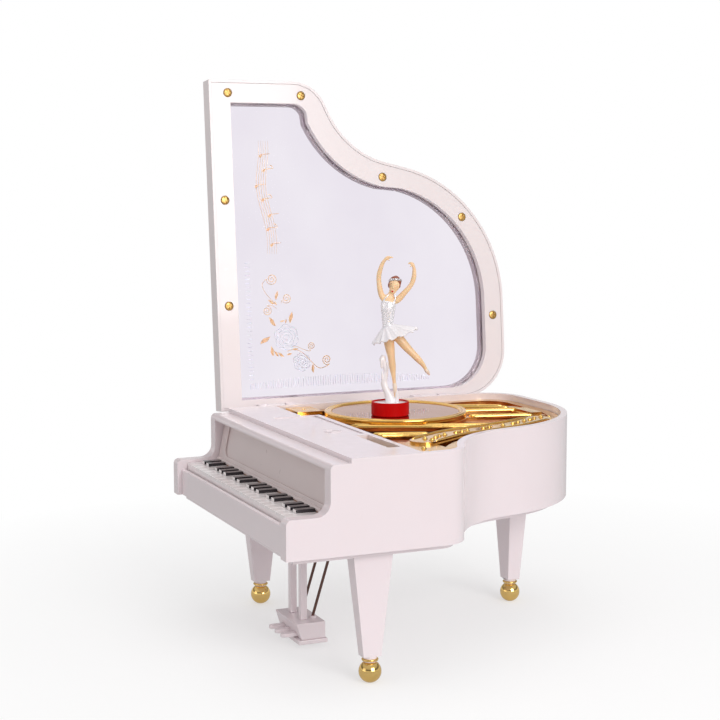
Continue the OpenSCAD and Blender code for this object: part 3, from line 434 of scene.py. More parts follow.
def spline(points, steps=5):
    """A smooth run through rows of numbers."""
    rows = [Vector(p) for p in (points[0], *points, points[-1])]
    out = []
    for p0, p1, p2, p3 in zip(rows, rows[1:], rows[2:], rows[3:]):
        for k in range(steps):
            u = k / steps
            bend = (2 * p0 - 5 * p1 + 4 * p2 - p3) * u * u + (3 * p1 - p0 - 3 * p2 + p3) * u ** 3
            out.append((2 * p1 + (p2 - p0) * u + bend) * 0.5)
    return out + [rows[-1]]


def stitch(bm, rings):
    """Quads between each closed ring of points and the next."""
    for low, high in zip(rings, rings[1:]):
        for k in range(len(low)):
            n = (k + 1) % len(low)
            bm.faces.new((low[k], low[n], high[n], high[k]))


def tube(bm, rows, side=Vector((0, 0, 1)), sides=16):
    """A closed skin along rows of x, y, z, half width along side, half width across it."""
    rings = []
    for i, row in enumerate(rows):
        p = Vector(row[:3])
        before, after = rows[max(i - 1, 0)], rows[min(i + 1, len(rows) - 1)]
        run = (Vector(after[:3]) - Vector(before[:3])).normalized()
        u = (side - run * side.dot(run)).normalized()
        v = run.cross(u)
        turn = [2 * pi * k / sides for k in range(sides)]
        rings.append([bm.verts.new(p + u * row[3] * cos(a) + v * row[4] * sin(a)) for a in turn])
    stitch(bm, rings)
    bm.faces.new(rings[0][::-1])
    bm.faces.new(rings[-1])


def ellipsoid(bm, centre, axes, rings=14, sides=24):
    """An egg from its centre and its three half axes as vectors."""
    a, b, c = axes
    made = bmesh.ops.create_uvsphere(bm, u_segments=sides, v_segments=rings, radius=1)
    for v in made["verts"]:
        v.co = centre + a * v.co.x + b * v.co.y + c * v.co.z


def lathe(bm, centre, profile, sides=96):
    """A turned shape from (radius, height) points; a radius of 0 closes it."""
    rings = []
    for r, z in profile:
        turn = [2 * pi * k / sides for k in range(1 if r == 0 else sides)]
        rings.append([bm.verts.new((centre[0] + r * cos(a), centre[1] + r * sin(a), z)) for a in turn])
    for low, high in zip(rings, rings[1:]):
        for k in range(sides):
            n = (k + 1) % sides
            quad = [low[k % len(low)], low[n % len(low)], high[n % len(high)], high[k % len(high)]]
            corners = list(dict.fromkeys(quad))
            if len(corners) > 2:
                bm.faces.new(corners)


def round_run(c, r, a0, a1, n=8):
    """Profile points round a corner, angles in degrees."""
    turn = [radians(a0 + (a1 - a0) * i / n) for i in range(n + 1)]
    return [(c[0] + r * cos(a), c[1] + r * sin(a)) for a in turn]


# ---------------------------------------------------------------------------
# Dancer
# ---------------------------------------------------------------------------

cup_low, cup_high = node_box("base_cup")
STAND = (cup_low + cup_high) / 2
BASE_Z = cup_low.z
BASE_TOP = cup_high.z
BASE_R = (cup_high.x - cup_low.x) / 2
POSE_A = radians(66)
ACROSS = Vector((cos(POSE_A), sin(POSE_A), 0))
FRONT = Vector((sin(POSE_A), -cos(POSE_A), 0))
UP = Vector((0, 0, 1))


def fig(s, t, h):
    return Vector((STAND.x, STAND.y, MIRROR_TOP)) + ACROSS * s + FRONT * t + UP * h


def body_rows(*rows, steps=5):
    return spline([(*fig(s, t, h), a, b) for s, t, h, a, b in rows], steps)


def melt(ob, voxel, rounds):
    """Joins overlapping skins into one smooth moulded surface."""
    r = ob.modifiers.new("join", "REMESH")
    r.mode = "VOXEL"
    r.voxel_size = voxel * MM
    r.use_smooth_shade = True
    f = ob.modifiers.new("soften", "SMOOTH")
    f.factor = 0.5
    f.iterations = rounds


def make_figure():
    bm = bmesh.new()
    # standing leg, with the calf and the pointed foot
    tube(bm, body_rows(
        (-0.4, 0, 33, 1.9, 1.9), (-0.6, 0, 30.6, 2.15, 2.0), (0.1, 0.1, 26, 1.8, 1.7),
        (0.5, 0.2, 23.4, 1.45, 1.5),
        (0.9, -0.1, 20, 1.4, 1.55), (1.3, -0.1, 16.4, 0.95, 1.0), (1.6, 0, 13.8, 0.72, 0.85),
        (1.9, 0.3, 11, 0.8, 1.0),
        (2.1, 0.3, 8.6, 0.62, 0.75), (2.2, 0.3, 5.2, 0.42, 0.45)), ACROSS)
    # raised leg
    tube(bm, body_rows(
        (2.2, 0, 33, 1.9, 1.9), (3.6, 0.1, 31.2, 1.95, 2.0), (6.8, 0.4, 27.5, 1.7, 1.7),
        (9.2, 0.5, 25, 1.45, 1.45),
        (11.2, 0.2, 22.9, 1.35, 1.4), (13.2, -0.2, 20.6, 0.95, 1.0), (14.2, -0.4, 19, 0.7, 0.8),
        (14.9, -0.5, 17.9, 0.75, 0.9), (15.5, -0.7, 17, 0.5, 0.6),
        (15.9, -0.8, 16.3, 0.2, 0.25)), UP.cross(FRONT))
    # hips, waist, chest and shoulders
    tube(bm, body_rows(
        (0.9, 0, 30.6, 2.6, 1.9), (0.4, 0, 33, 2.9, 2.2), (-0.9, 0, 36.4, 2.05, 1.7),
        (-1.0, 0.1, 39.6, 2.3, 1.8),
        (-0.9, 0.3, 43.4, 2.75, 2.2), (-0.7, 0.2, 45.8, 2.9, 2.1), (-0.3, 0, 47.6, 2.9, 1.5),
        (0.1, 0, 48.6, 1.5, 1.1),
        (0.5, 0, 50.2, 0.95, 1.0), (0.8, 0, 51.4, 0.9, 1.0)), ACROSS)
    # arms and hands
    tube(bm, body_rows(
        (-1.9, 0, 46.9, 1.3, 1.3), (-3.1, 0, 48, 1.25, 1.2), (-4.0, 0.2, 50.4, 1.15, 1.1),
        (-4.6, 0.5, 54.6, 0.98, 1.0),
        (-4.4, 0.8, 57.6, 0.98, 0.98), (-3.3, 1.2, 61.2, 0.8, 0.8), (-2.2, 1.4, 62.9, 0.62, 0.6),
        (-1.2, 1.5, 63.8, 0.72, 0.5), (0.1, 1.6, 64.1, 0.5, 0.35), (1.1, 1.6, 63.9, 0.2, 0.2)), ACROSS)
    tube(bm, body_rows(
        (1.4, 0, 46.3, 1.3, 1.3), (3.1, 0, 47, 1.35, 1.3), (5.4, 0.3, 49.4, 1.15, 1.1),
        (8.2, 0.6, 52.7, 0.95, 0.95),
        (9.4, 0.8, 55.6, 0.98, 0.98), (9.6, 1, 58.6, 0.78, 0.78), (9.3, 1.2, 60.4, 0.62, 0.6),
        (8.8, 1.3, 61.3, 0.72, 0.5), (7.9, 1.4, 61.8, 0.5, 0.35), (7.2, 1.4, 61.3, 0.2, 0.2)), ACROSS)
    # thumbs
    tube(bm, body_rows(
        (-1.3, 1.7, 63.4, 0.28, 0.28), (-0.6, 1.9, 62.9, 0.22, 0.22),
        (-0.2, 1.9, 62.6, 0.12, 0.12)), ACROSS)
    tube(bm, body_rows(
        (8.7, 1.5, 60.9, 0.28, 0.28), (8.1, 1.7, 60.4, 0.22, 0.22), (7.8, 1.7, 60.1, 0.12, 0.12)), ACROSS)
    # head: skull, jaw, nose
    lean = (UP * 0.985 + ACROSS * 0.17).normalized()
    wide = (ACROSS - UP * 0.17).normalized()
    ellipsoid(bm, fig(1.7, 0.1, 52.9), (wide * 2.25, FRONT * 2.4, lean * 2.9))
    ellipsoid(bm, fig(1.1, 0.6, 51), (wide * 1.5, FRONT * 1.5, lean * 1.9))
    ellipsoid(bm, fig(1.2, 2.4, 51.9), (wide * 0.3, FRONT * 0.45, lean * 0.62), 8, 12)
    melt(piece("dancer_skin", bm, "dancer", SKIN, "skin", "dancer_figure"), 0.2, 3)


def make_face():
    lips = bmesh.new()
    ellipsoid(lips, fig(0.85, 1.98, 50.55), (ACROSS * 0.55, FRONT * 0.28, UP * 0.2), 8, 14)
    ellipsoid(lips, fig(0.82, 1.92, 50.25), (ACROSS * 0.42, FRONT * 0.28, UP * 0.2), 8, 14)
    piece("dancer_lips", lips, "dancer", LIPS, "skin")
    eyes = bmesh.new()
    for s in (0.45, 2.15):
        eye = fig(s, 2.02 - 0.12 * abs(s - 1.2), 52.55 + 0.05 * s)
        ellipsoid(eyes, eye, (ACROSS * 0.4, FRONT * 0.3, UP * 0.16), 8, 14)
        tube(eyes, body_rows(
            (s - 0.6, 1.9, 53.25, 0.06, 0.1), (s, 2.16, 53.5, 0.08, 0.1),
            (s + 0.6, 1.9, 53.3, 0.05, 0.1)), UP, 8)
    piece("dancer_eyes", eyes, "dancer", EYES, "hair_paint")


def make_hair():
    bm = bmesh.new()
    ellipsoid(bm, fig(2.0, -0.55, 54.0), (ACROSS * 2.5, FRONT * 2.55, UP * 2.45), 18, 30)
    ellipsoid(bm, fig(2.3, -2.4, 55.2), (ACROSS * 1.35, FRONT * 1.25, UP * 1.3))
    for s in (-0.35, 3.6):
        ellipsoid(bm, fig(s, -0.3, 52.8), (ACROSS * 0.6, FRONT * 1.5, UP * 1.3))
    melt(piece("dancer_hair_cap", bm, "dancer", HAIR, "hair_paint", "dancer_hair"), 0.17, 2)
    band = bmesh.new()
    turn = [2 * pi * k / 40 for k in range(41)]
    middle = fig(2.0, -0.55, 54.55)
    loop = [middle + ACROSS * 2.5 * cos(a) + FRONT * 2.45 * sin(a) + UP * 0.55 * sin(a) for a in turn]
    tube(band, [(*p, 0.5, 0.22) for p in loop], UP, 10)
    for k in range(5):
        a = radians(50 + 20 * k)
        gem = fig(2.0, -0.55, 54.9 + 0.4 * sin(a)) + ACROSS * 2.6 * cos(a) + FRONT * 2.55 * sin(a)
        ellipsoid(band, gem, (ACROSS * 0.42, FRONT * 0.25, UP * 0.42), 8, 12)
    piece("dancer_band", band, "dancer", BAND, "dress_white")


def make_dress():
    bm = bmesh.new()
    tube(bm, body_rows(
        (-0.6, 0, 34.6, 2.6, 2.3), (-0.95, 0, 36.4, 2.25, 1.95), (-1.0, 0.1, 39.6, 2.5, 2.05),
        (-0.9, 0.3, 43.2, 2.95, 2.4),
        (-0.8, 0.3, 45.2, 3.05, 2.35), (-0.7, 0.3, 46.1, 2.8, 2.1),
        (-0.6, 0.3, 46.7, 2.0, 1.6)), ACROSS, 24)
    # halter straps
    tube(bm, body_rows(
        (-2.9, 1.4, 45.2, 0.55, 0.35), (-2.4, 1.35, 46.9, 0.42, 0.3), (-1.3, 1.2, 48.3, 0.3, 0.3),
        (-0.4, 0.9, 49.4, 0.24, 0.25)), ACROSS, 10)
    tube(bm, body_rows(
        (1.2, 1.5, 45.2, 0.55, 0.35), (1.9, 1.4, 46.9, 0.42, 0.3), (2.1, 1.2, 48.5, 0.3, 0.3),
        (1.6, 0.9, 49.7, 0.24, 0.25)), ACROSS, 10)
    melt(piece("dancer_bodice", bm, "dancer", GLITTER, "dress_white", "dancer_dress"), 0.2, 2)
    skirt = bmesh.new()
    tilt = radians(19)
    e1 = ACROSS * cos(tilt) + UP * sin(tilt)
    e3 = UP * cos(tilt) - ACROSS * sin(tilt)
    rings, rounds, sides = [], 18, 180
    for j in range(rounds + 1):
        # f runs from the waist to the hem
        f = j / rounds
        waist = fig(1.55, 0, 33.1) - e1 * 1.5 * (1 - f)
        ring = []
        for k in range(sides):
            a = 2 * pi * k / sides
            wave = sin(15 * a + 1.2 * sin(3 * a)) + 0.35 * sin(31 * a + 2)
            r = 2.1 + 7.6 * f ** 0.95 + 0.22 * f * f * sin(7 * a + 1)
            z = 3.9 * (1 - f) ** 1.35 - 0.9 * f ** 3 + wave * 0.34 * f ** 0.8
            ring.append(skirt.verts.new(waist + e1 * r * cos(a) + FRONT * r * sin(a) + e3 * z))
        rings.append(ring)
    stitch(skirt, rings)
    ob = piece("dancer_skirt", skirt, "dancer", PEARL, "dress_white")
    t = ob.modifiers.new("thick", "SOLIDIFY")
    t.thickness = 0.35 * MM
    t.offset = 0


def make_support():
    bm = bmesh.new()
    tube(bm, body_rows(
        (0.2, 0, 4.9, 2.5, 1.7), (-0.1, 0, 6.6, 2.0, 1.5), (-0.9, -0.2, 8.8, 1.5, 1.2),
        (-1.9, -0.4, 11, 1.35, 1.0),
        (-2.5, -0.6, 13.2, 1.35, 0.95), (-2.0, -0.8, 15.8, 1.05, 0.9), (-1.7, -0.9, 18, 0.95, 0.85),
        (-2.4, -0.9, 20.4, 1.15, 0.9), (-3.1, -0.9, 22.6, 1.3, 0.9), (-2.7, -0.9, 24.3, 0.8, 0.6)), ACROSS)
    for s, h, turn in ((-2.2, 9.5, 0.7), (-3.0, 16, -0.5), (-1.3, 19.5, 0.6), (-3.5, 21, -0.3)):
        tube(bm, body_rows(
            (s, -0.2, h - 2.2, 0.2, 0.3), (s + turn * 0.6, 0, h, 0.4, 0.4),
            (s, -0.2, h + 2.2, 0.2, 0.25)), ACROSS, 12)
    tube(bm, body_rows(
        (2.4, 0.2, 4.9, 1.2, 1.2), (2.6, 0.2, 7, 0.95, 0.95), (2.5, 0.4, 9.4, 0.75, 0.8),
        (2.3, 0.4, 11, 0.35, 0.4)), ACROSS)
    melt(piece("dancer_post", bm, "dancer", PEARL, "dress_white", "dancer_support"), 0.2, 2)
    shoes = bmesh.new()
    tube(shoes, body_rows(
        (14.3, -0.4, 18.7, 0.82, 0.95), (14.9, -0.5, 17.9, 0.86, 1.0), (15.5, -0.7, 17, 0.62, 0.7),
        (16, -0.8, 16.2, 0.28, 0.3)), UP.cross(FRONT))
    tube(shoes, body_rows(
        (1.7, 0.2, 13, 0.82, 0.95), (1.9, 0.35, 11, 0.92, 1.1), (2.1, 0.35, 9.2, 0.75, 0.9)), ACROSS)
    melt(piece("dancer_shoes", shoes, "dancer", SHOE, "skin"), 0.14, 2)


def make_cup():
    bm = bmesh.new()
    wall, floor = 0.7, 0.8
    foot_r, lip_r, edge_r, draft = 0.6, 0.3, 0.2, 0.05
    inner = BASE_R - wall
    profile = [(0, BASE_Z)] + round_run((BASE_R - foot_r, BASE_Z + foot_r), foot_r, -90, 0)
    profile += [(BASE_R, BASE_Z + 3)] + round_run((BASE_R - draft - lip_r, BASE_TOP - lip_r), lip_r, 0, 90)
    profile += round_run((inner + edge_r, BASE_TOP - edge_r), edge_r, 90, 180)
    profile += [(inner, BASE_Z + floor), (0, BASE_Z + floor)]
    lathe(bm, STAND, profile)
    ob = piece("red_cup", bm, "dancer", RED, "red_base", "base_cup")
    ob.modifiers.new("normals", "WEIGHTED_NORMAL")


make_figure()
make_face()
make_hair()
make_dress()
make_support()
make_cup()

# ---------------------------------------------------------------------------
# Mirror ring, feet and screws
# ---------------------------------------------------------------------------

ring_low, ring_high = node_box("mirror_ring")
RING_R = (ring_high.x - ring_low.x) / 2


def make_ring():
    bm = bmesh.new()
    z0, top = ring_low.z, ring_high.z
    lip, bead_r, inner_r, gap = 0.6, 0.7, 0.55, 0.05
    inner, seat, lip_z = MIRROR_R - lip, MIRROR_R + gap, MIRROR_TOP + 0.02
    profile = [(seat, z0), (RING_R, z0), (RING_R, top - 0.95)]
    profile += round_run((RING_R - bead_r, top - 0.75), bead_r, 0, 150)
    profile += round_run((inner + 0.95, top - inner_r), inner_r, 40, 170)
    profile += [(inner, lip_z), (seat, lip_z), (seat, z0)]
    lathe(bm, RING, profile, 192)
    bmesh.ops.remove_doubles(bm, verts=bm.verts, dist=1e-4)
    ob = piece("ring_bead", bm, "root", GOLD, "gold_plate", "mirror_ring")
    ob.modifiers.new("normals", "WEIGHTED_NORMAL")


def make_feet():
    for node in ("foot_bass_front", "foot_treble_front", "foot_tail"):
        low, high = node_box(node)
        c = (low + high) / 2
        r = (high.x - low.x) / 2
        mid, stem_r = 3.95, 1.2
        flat = sqrt(r * r - mid * mid)
        bm = bmesh.new()
        profile = [(0, 0), (flat, 0)] + round_run((0, mid), r, -74, 62, 26)
        profile += [(2.3, 7.75), (2.9, 7.95)] + round_run((2.7, 8.35), 0.35, -50, 90, 6)
        profile += [(2.2, 8.9), (stem_r, 9), (stem_r, high.z), (0, high.z)]
        lathe(bm, c, profile, 64)
        piece(node + "_ball", bm, "root", GOLD_BALL, "gold_ball", node)


HINGE = to_case(JOINTS["lid_hinge"]["pos_m"])
LID_OPEN = radians(95)
LID_Z = Z_RIM + 0.3
PANE_Z = LID_Z + 3.2


def on_lid(x, y, z):
    """A point of the closed lid, swung open with it."""
    dx, dz = x - HINGE.x, z - HINGE.z
    c, s = cos(LID_OPEN), sin(LID_OPEN)
    return Vector((HINGE.x + dx * c - dz * s, y, HINGE.z + dx * s + dz * c))


LID_U = (on_lid(1, 0, LID_Z) - on_lid(0, 0, LID_Z)).normalized()
LID_N = (on_lid(0, 0, LID_Z) - on_lid(0, 0, LID_Z + 1)).normalized()
LID_V = Vector((0, 1, 0))


def screw_centres():
    """The middle of each lid screw's face, in the order of the CAD mesh."""
    node = frame["nodes"]["lid_screws"]
    parts = bmesh.new()
    parts.from_mesh(node.data)
    bmesh.ops.remove_doubles(parts, verts=parts.verts, dist=1e-6)
    seen, centres = set(), []
    for first in parts.verts:
        if first in seen:
            continue
        seen.add(first)
        stack, group = [first], []
        while stack:
            v = stack.pop()
            group.append(to_case(node.matrix_world @ v.co))
            for e in v.link_edges:
                o = e.other_vert(v)
                if o not in seen:
                    seen.add(o)
                    stack.append(o)
        face = max(p.dot(LID_N) for p in group)
        rim = [p for p in group if abs(p.dot(LID_N) - face) < 0.02]
        centres.append(sum(rim, Vector()) / len(rim))
    parts.free()
    return centres


def make_screws():
    """Domed cross-head screws, one for each hole of the lid's frame."""
    bm = bmesh.new()
    rounds, sides = 24, 96
    radius, dome, sink, skirt = 1.8, 0.3, 0.1, 0.9
    slot_half, slot_reach, slot_deep = 0.26, 1.3, 0.45
    for centre in screw_centres():
        turn = rng.uniform(0, pi)
        u = LID_U * cos(turn) + LID_V * sin(turn)
        v = LID_V * cos(turn) - LID_U * sin(turn)
        rings = []
        for j in range(rounds + 1):
            q = radius * j / rounds
            ring = []
            for k in range(sides):
                a = 2 * pi * k / sides
                x, y = q * cos(a), q * sin(a)
                h = dome * (1 - (q / radius) ** 4)
                if min(abs(x), abs(y)) < slot_half and q < slot_reach:
                    h -= slot_deep
                ring.append(bm.verts.new(centre + u * x + v * y + LID_N * (h - sink)))
            rings.append(ring)
        rings.append([bm.verts.new(corner.co - LID_N * skirt) for corner in rings[-1]])
        stitch(bm, rings)
        bm.faces.new(rings[-1])
    bmesh.ops.remove_doubles(bm, verts=bm.verts, dist=1e-5)
    piece("lid_screw_heads", bm, "lid", GOLD_SCREW, "gold_screw", "lid_screws", shaded=False)


make_ring()
make_feet()
make_screws()

# ---------------------------------------------------------------------------
# Plate, fallboard and desk
# ---------------------------------------------------------------------------

PLATE_TOP = ring_low.z - 1


def bar(bm, points, width, height, base, steps=6):
    """A rounded rib lying on the plate through (x, y) points."""
    rows = [(p.x, p.y, base, width / 2, height) for p in spline(points, steps)]
    rows[0] = (*rows[0][:3], width / 5, height / 3)
    rows[-1] = (*rows[-1][:3], width / 5, height / 3)
    tube(bm, rows, Vector((0.7, 0.7, 0)), 14)


def scroll(bm, centre, angle, size, base):
    """A raised S-shaped ornament with a leaf on each side."""
    a = radians(angle)
    run, across = Vector((cos(a), sin(a))), Vector((-sin(a), cos(a)))
    for side in (-1, 1):
        points = []
        for i in range(15):
            f = i / 14
            turn = 2 * pi * 1.15 * f
            r = size * (0.9 - 0.75 * f)
            along = size * 0.5 + r * 0.5 * cos(turn)
            points.append(centre + run * side * along + across * side * r * 0.42 * sin(turn))
        bar(bm, points, 0.5, 0.45, base, 2)
    heart = (run.to_3d() * size * 0.35, across.to_3d() * size * 0.22, UP * 0.55)
    ellipsoid(bm, Vector((*centre, base)), heart, 8, 14)


def pin(bm, place, base):
    """A round-headed pin on a collar."""
    collar_r, head_r, head_z = 1.1, 0.75, base + 0.2
    profile = [(collar_r, base - 0.3), (collar_r, head_z)] + round_run((0, head_z), head_r, 0, 80, 6)
    lathe(bm, Vector((*place, 0)), profile + [(0, head_z + head_r)], 20)


def make_plate_details():
    bm = bmesh.new()
    top = PLATE_TOP
    # ribs along the struts
    for shift in (-1.9, 1.9):
        bar(bm, [(50.9 + shift, 58), (60 + shift, 77), (67.5 + shift, 97), (72.5 + shift, 111)],
            1.1, 1.0, top)
        bar(bm, [(75 + shift, 57), (78 + shift, 67), (82 + shift, 78)], 1.1, 1.0, top)
    for shift in (-1.3, 1.3):
        bar(bm, [(30.5 + shift, 115), (35 + shift, 131), (39 + shift, 146)], 0.8, 0.8, top)
        bar(bm, [(46.5 + shift, 113), (50 + shift, 126), (53 + shift, 139)], 0.8, 0.8, top)
    for shift in (-2.4, 2.4):
        bar(bm, [(12.5 + shift, 108), (21 + shift, 124), (29 + shift, 140)], 0.9, 0.9, top)
    # rims of the broad strut
    strut = [Vector(p) for p in ((96, 68), (86, 83.5), (81.5, 97), (75, 117), (66, 134))]
    level = top + 0.9
    for side in (-1, 1):
        edge = []
        for i, p in enumerate(strut):
            run = (strut[min(i + 1, 4)] - strut[max(i - 1, 0)]).normalized()
            edge.append(p + Vector((-run.y, run.x)) * side * 5.1)
        bar(bm, edge, 0.7, 0.55, level)
    for x, y, turn in (
        (84.5, 88.5, 108), (79.6, 103, 107), (73.2, 119.5, 113), (67.2, 130.5, 118), (91, 76, 125),
    ):
        scroll(bm, Vector((x, y)), turn, 3.4, level + 0.05)
    for place in (
        (93.5, 69.5), (97.3, 70.6), (88.6, 80.2), (83, 92.8), (77.3, 111.5), (70.4, 125), (64.5, 136.2),
    ):
        pin(bm, place, level)
    for place in (
        (14, 112), (18.5, 120), (23.5, 129), (45, 141), (62, 141.5), (70, 137.5), (8, 66), (8, 90),
        (108, 62), (117, 60),
    ):
        pin(bm, place, top)
    # scored lines of the tuning block behind the deck
    for k in range(5):
        bar(bm, [(7 + 4.6 * k, 46.4), (7.6 + 4.6 * k, 49.5)], 0.5, 0.4, top)
    # edge of the plate seen through the deck's slot
    bar(bm, [(84.5, 47.1), (93, 47.1), (108, 47.1), (116.5, 47.1)], 5.6, 0.9, Z_RIM - 3.6)
    piece("plate_relief", bm, "root", GOLD, "gold_plate")


def slab(bm, outline, hole, lift):
    """A flat border between two loops of points, as thick as lift."""
    loops = [
        [bm.verts.new(p + shift) for p in loop]
        for shift in (Vector(), lift) for loop in (outline, hole)
    ]
    n = len(outline)
    for a, b in ((0, 1), (2, 3), (0, 2), (1, 3)):
        for k in range(n):
            m = (k + 1) % n
            bm.faces.new((loops[a][k], loops[a][m], loops[b][m], loops[b][k]))


def make_fallboard_border():
    """The raised border round the fallboard's sunk panel."""
    low, high = node_box("fallboard")
    foot = Vector((0, low.y, low.z))
    head = Vector((0, high.y - (high.y - low.y) * 0.38, high.z))
    rise = (head - foot).normalized()
    tall = (head - foot).length
    edge, corner, steps = 0.3, 3.6, 12
    left, right, base, top = 12, CASE_W - 6.5, 3.1, tall + 0.6
    inner, outer = [], []
    for cx, cy, a0 in (
        (right - corner, top - corner, 0), (left + corner, top - corner, 90),
        (left + corner, base + corner, 180), (right - corner, base + corner, 270),
    ):
        ox = high.x - edge if cx > CASE_W / 2 else low.x + edge
        oy = tall + 1.2 if cy > tall / 2 else edge
        for k in range(steps + 1):
            a = radians(a0 + 90 * k / steps)
            x, y = cx + corner * cos(a), cy + corner * sin(a)
            inner.append((x, y))
            beside = (x, oy) if (k < steps / 2) == (a0 in (90, 270)) else (ox, y)
            outer.append((ox, oy) if k == steps / 2 else beside)

    def lay(points):
        return [Vector((x, 0, 0)) + foot + rise * y for x, y in points]

    bm = bmesh.new()
    slab(bm, lay(outer), lay(inner), Vector((0, -rise.z, rise.y)) * 0.7)
    ob = piece("fallboard_border", bm, "root", FALLBOARD, "fallboard_plastic", shaded=False)
    add_bevel(ob, 0.25, 3)


def make_key_strip(name, forward, lift, half_deep, half_tall, sides, material, slot):
    """A rounded strip along the fallboard's foot, over the length of the black keys."""
    low, high = node_box("fallboard")
    keys_low, keys_high = node_box("black_keys")
    start, end = keys_low.x - 3.6, keys_high.x + 3.6
    y, z = low.y - forward, low.z + lift
    bm = bmesh.new()
    rows = [(x, y, z, half_deep, half_tall) for x in (start, start + 1, CASE_W / 2, end - 1, end)]
    tube(bm, rows, UP, sides)
    piece(name, bm, "root", material, slot)


def make_desk_ornament():
    """Three raised swirls near the treble end of the desk."""
    bm = bmesh.new()
    low, high = node_box("music_desk")
    c = Vector((high.x - 12, (low.y + high.y) / 2 + 0.6))
    for k in range(3):
        points = []
        for i in range(22):
            f = i / 21
            a = 2 * pi * (1.3 * f + k / 3)
            points.append(c + Vector((cos(a), sin(a))) * (0.4 + 3.3 * f))
        bar(bm, points, 0.46, 0.22, high.z, 2)
    piece("desk_ornament", bm, "desk", WHITE, "white_plastic")


make_plate_details()
make_fallboard_border()
make_key_strip("fallboard_ledge", 0.25, 0.9, 0.95, 1.0, 20, FALLBOARD, "fallboard_plastic")
make_key_strip("key_felt", 0.55, 0.05, 0.3, 0.42, 14, FELT, "brace_brown")
make_desk_ornament()

# ---------------------------------------------------------------------------
# Pane: printed flourish, and the fluted border drawn as pale painted highlight lines
# ---------------------------------------------------------------------------

PRINT_Z = PANE_Z - 0.03


def ribbon(bm, points, width):
    """A flat line on the pane through (y, x) points, tapering at its ends: print, and along the flutes a
    painted highlight.
    """
    rows = spline(points, 6)
    left, right = [], []
    for i, p in enumerate(rows):
        a, b = rows[max(i - 1, 0)], rows[min(i + 1, len(rows) - 1)]
        run = (b - a).normalized()
        f = i / (len(rows) - 1)
        half = width / 2 * (0.35 + 0.65 * sin(pi * min(max(f, 0.02), 0.98)) ** 0.6)
        across = Vector((-run.y, run.x)) * half
        left.append(bm.verts.new(on_lid(p.y + across.y, p.x + across.x, PRINT_Z)))
        right.append(bm.verts.new(on_lid(p.y - across.y, p.x - across.x, PRINT_Z)))
    for i in range(len(rows) - 1):
        bm.faces.new((left[i], right[i], right[i + 1], left[i + 1]))


def curl(bm, centre, radius, start, turns, stem, width=0.34):
    """A spiral that unwinds into a stem; turns is negative for clockwise."""
    n = 30
    points = []
    for i in range(n + 1):
        f = i / n
        a = radians(start) + 2 * pi * turns * (f - 1)
        q = radius * (0.12 + 0.88 * f)
        points.append((centre[0] + q * cos(a), centre[1] + q * sin(a)))
    ribbon(bm, points + list(stem), width)


def leaf(bm, centre, angle, length, fat=0.34):
    a = radians(angle)
    run, across = Vector((cos(a), sin(a))), Vector((-sin(a), cos(a)))
    ring = []
    for i in range(25):
        f = i / 12 - 1 if i <= 12 else 1 - (i - 12) / 12
        side = 1 if i <= 12 else -1
        half = fat * length / 2 * (1 - f * f) ** 0.9 * (1 - 0.35 * f)
        p = Vector(centre) + run * f * length / 2 + across * side * half
        ring.append(bm.verts.new(on_lid(p.y, p.x, PRINT_Z)))
    bm.faces.new(ring[:-1])


def rose(bm, centre, radius):
    """Petal outlines winding out from the heart."""
    for layer, petals in enumerate((3, 4, 5, 6)):
        r = radius * (0.22 + 0.26 * layer)
        for k in range(petals):
            a0 = 2 * pi * (k + 0.37 * layer) / petals
            points = []
            for i in range(9):
                f = i / 8
                a = a0 + 2 * pi / petals * (f * 1.18 - 0.09)
                q = r * (0.86 + 0.2 * sin(pi * f))
                points.append((centre[0] + q * cos(a), centre[1] + q * sin(a)))
            ribbon(bm, points, 0.4)


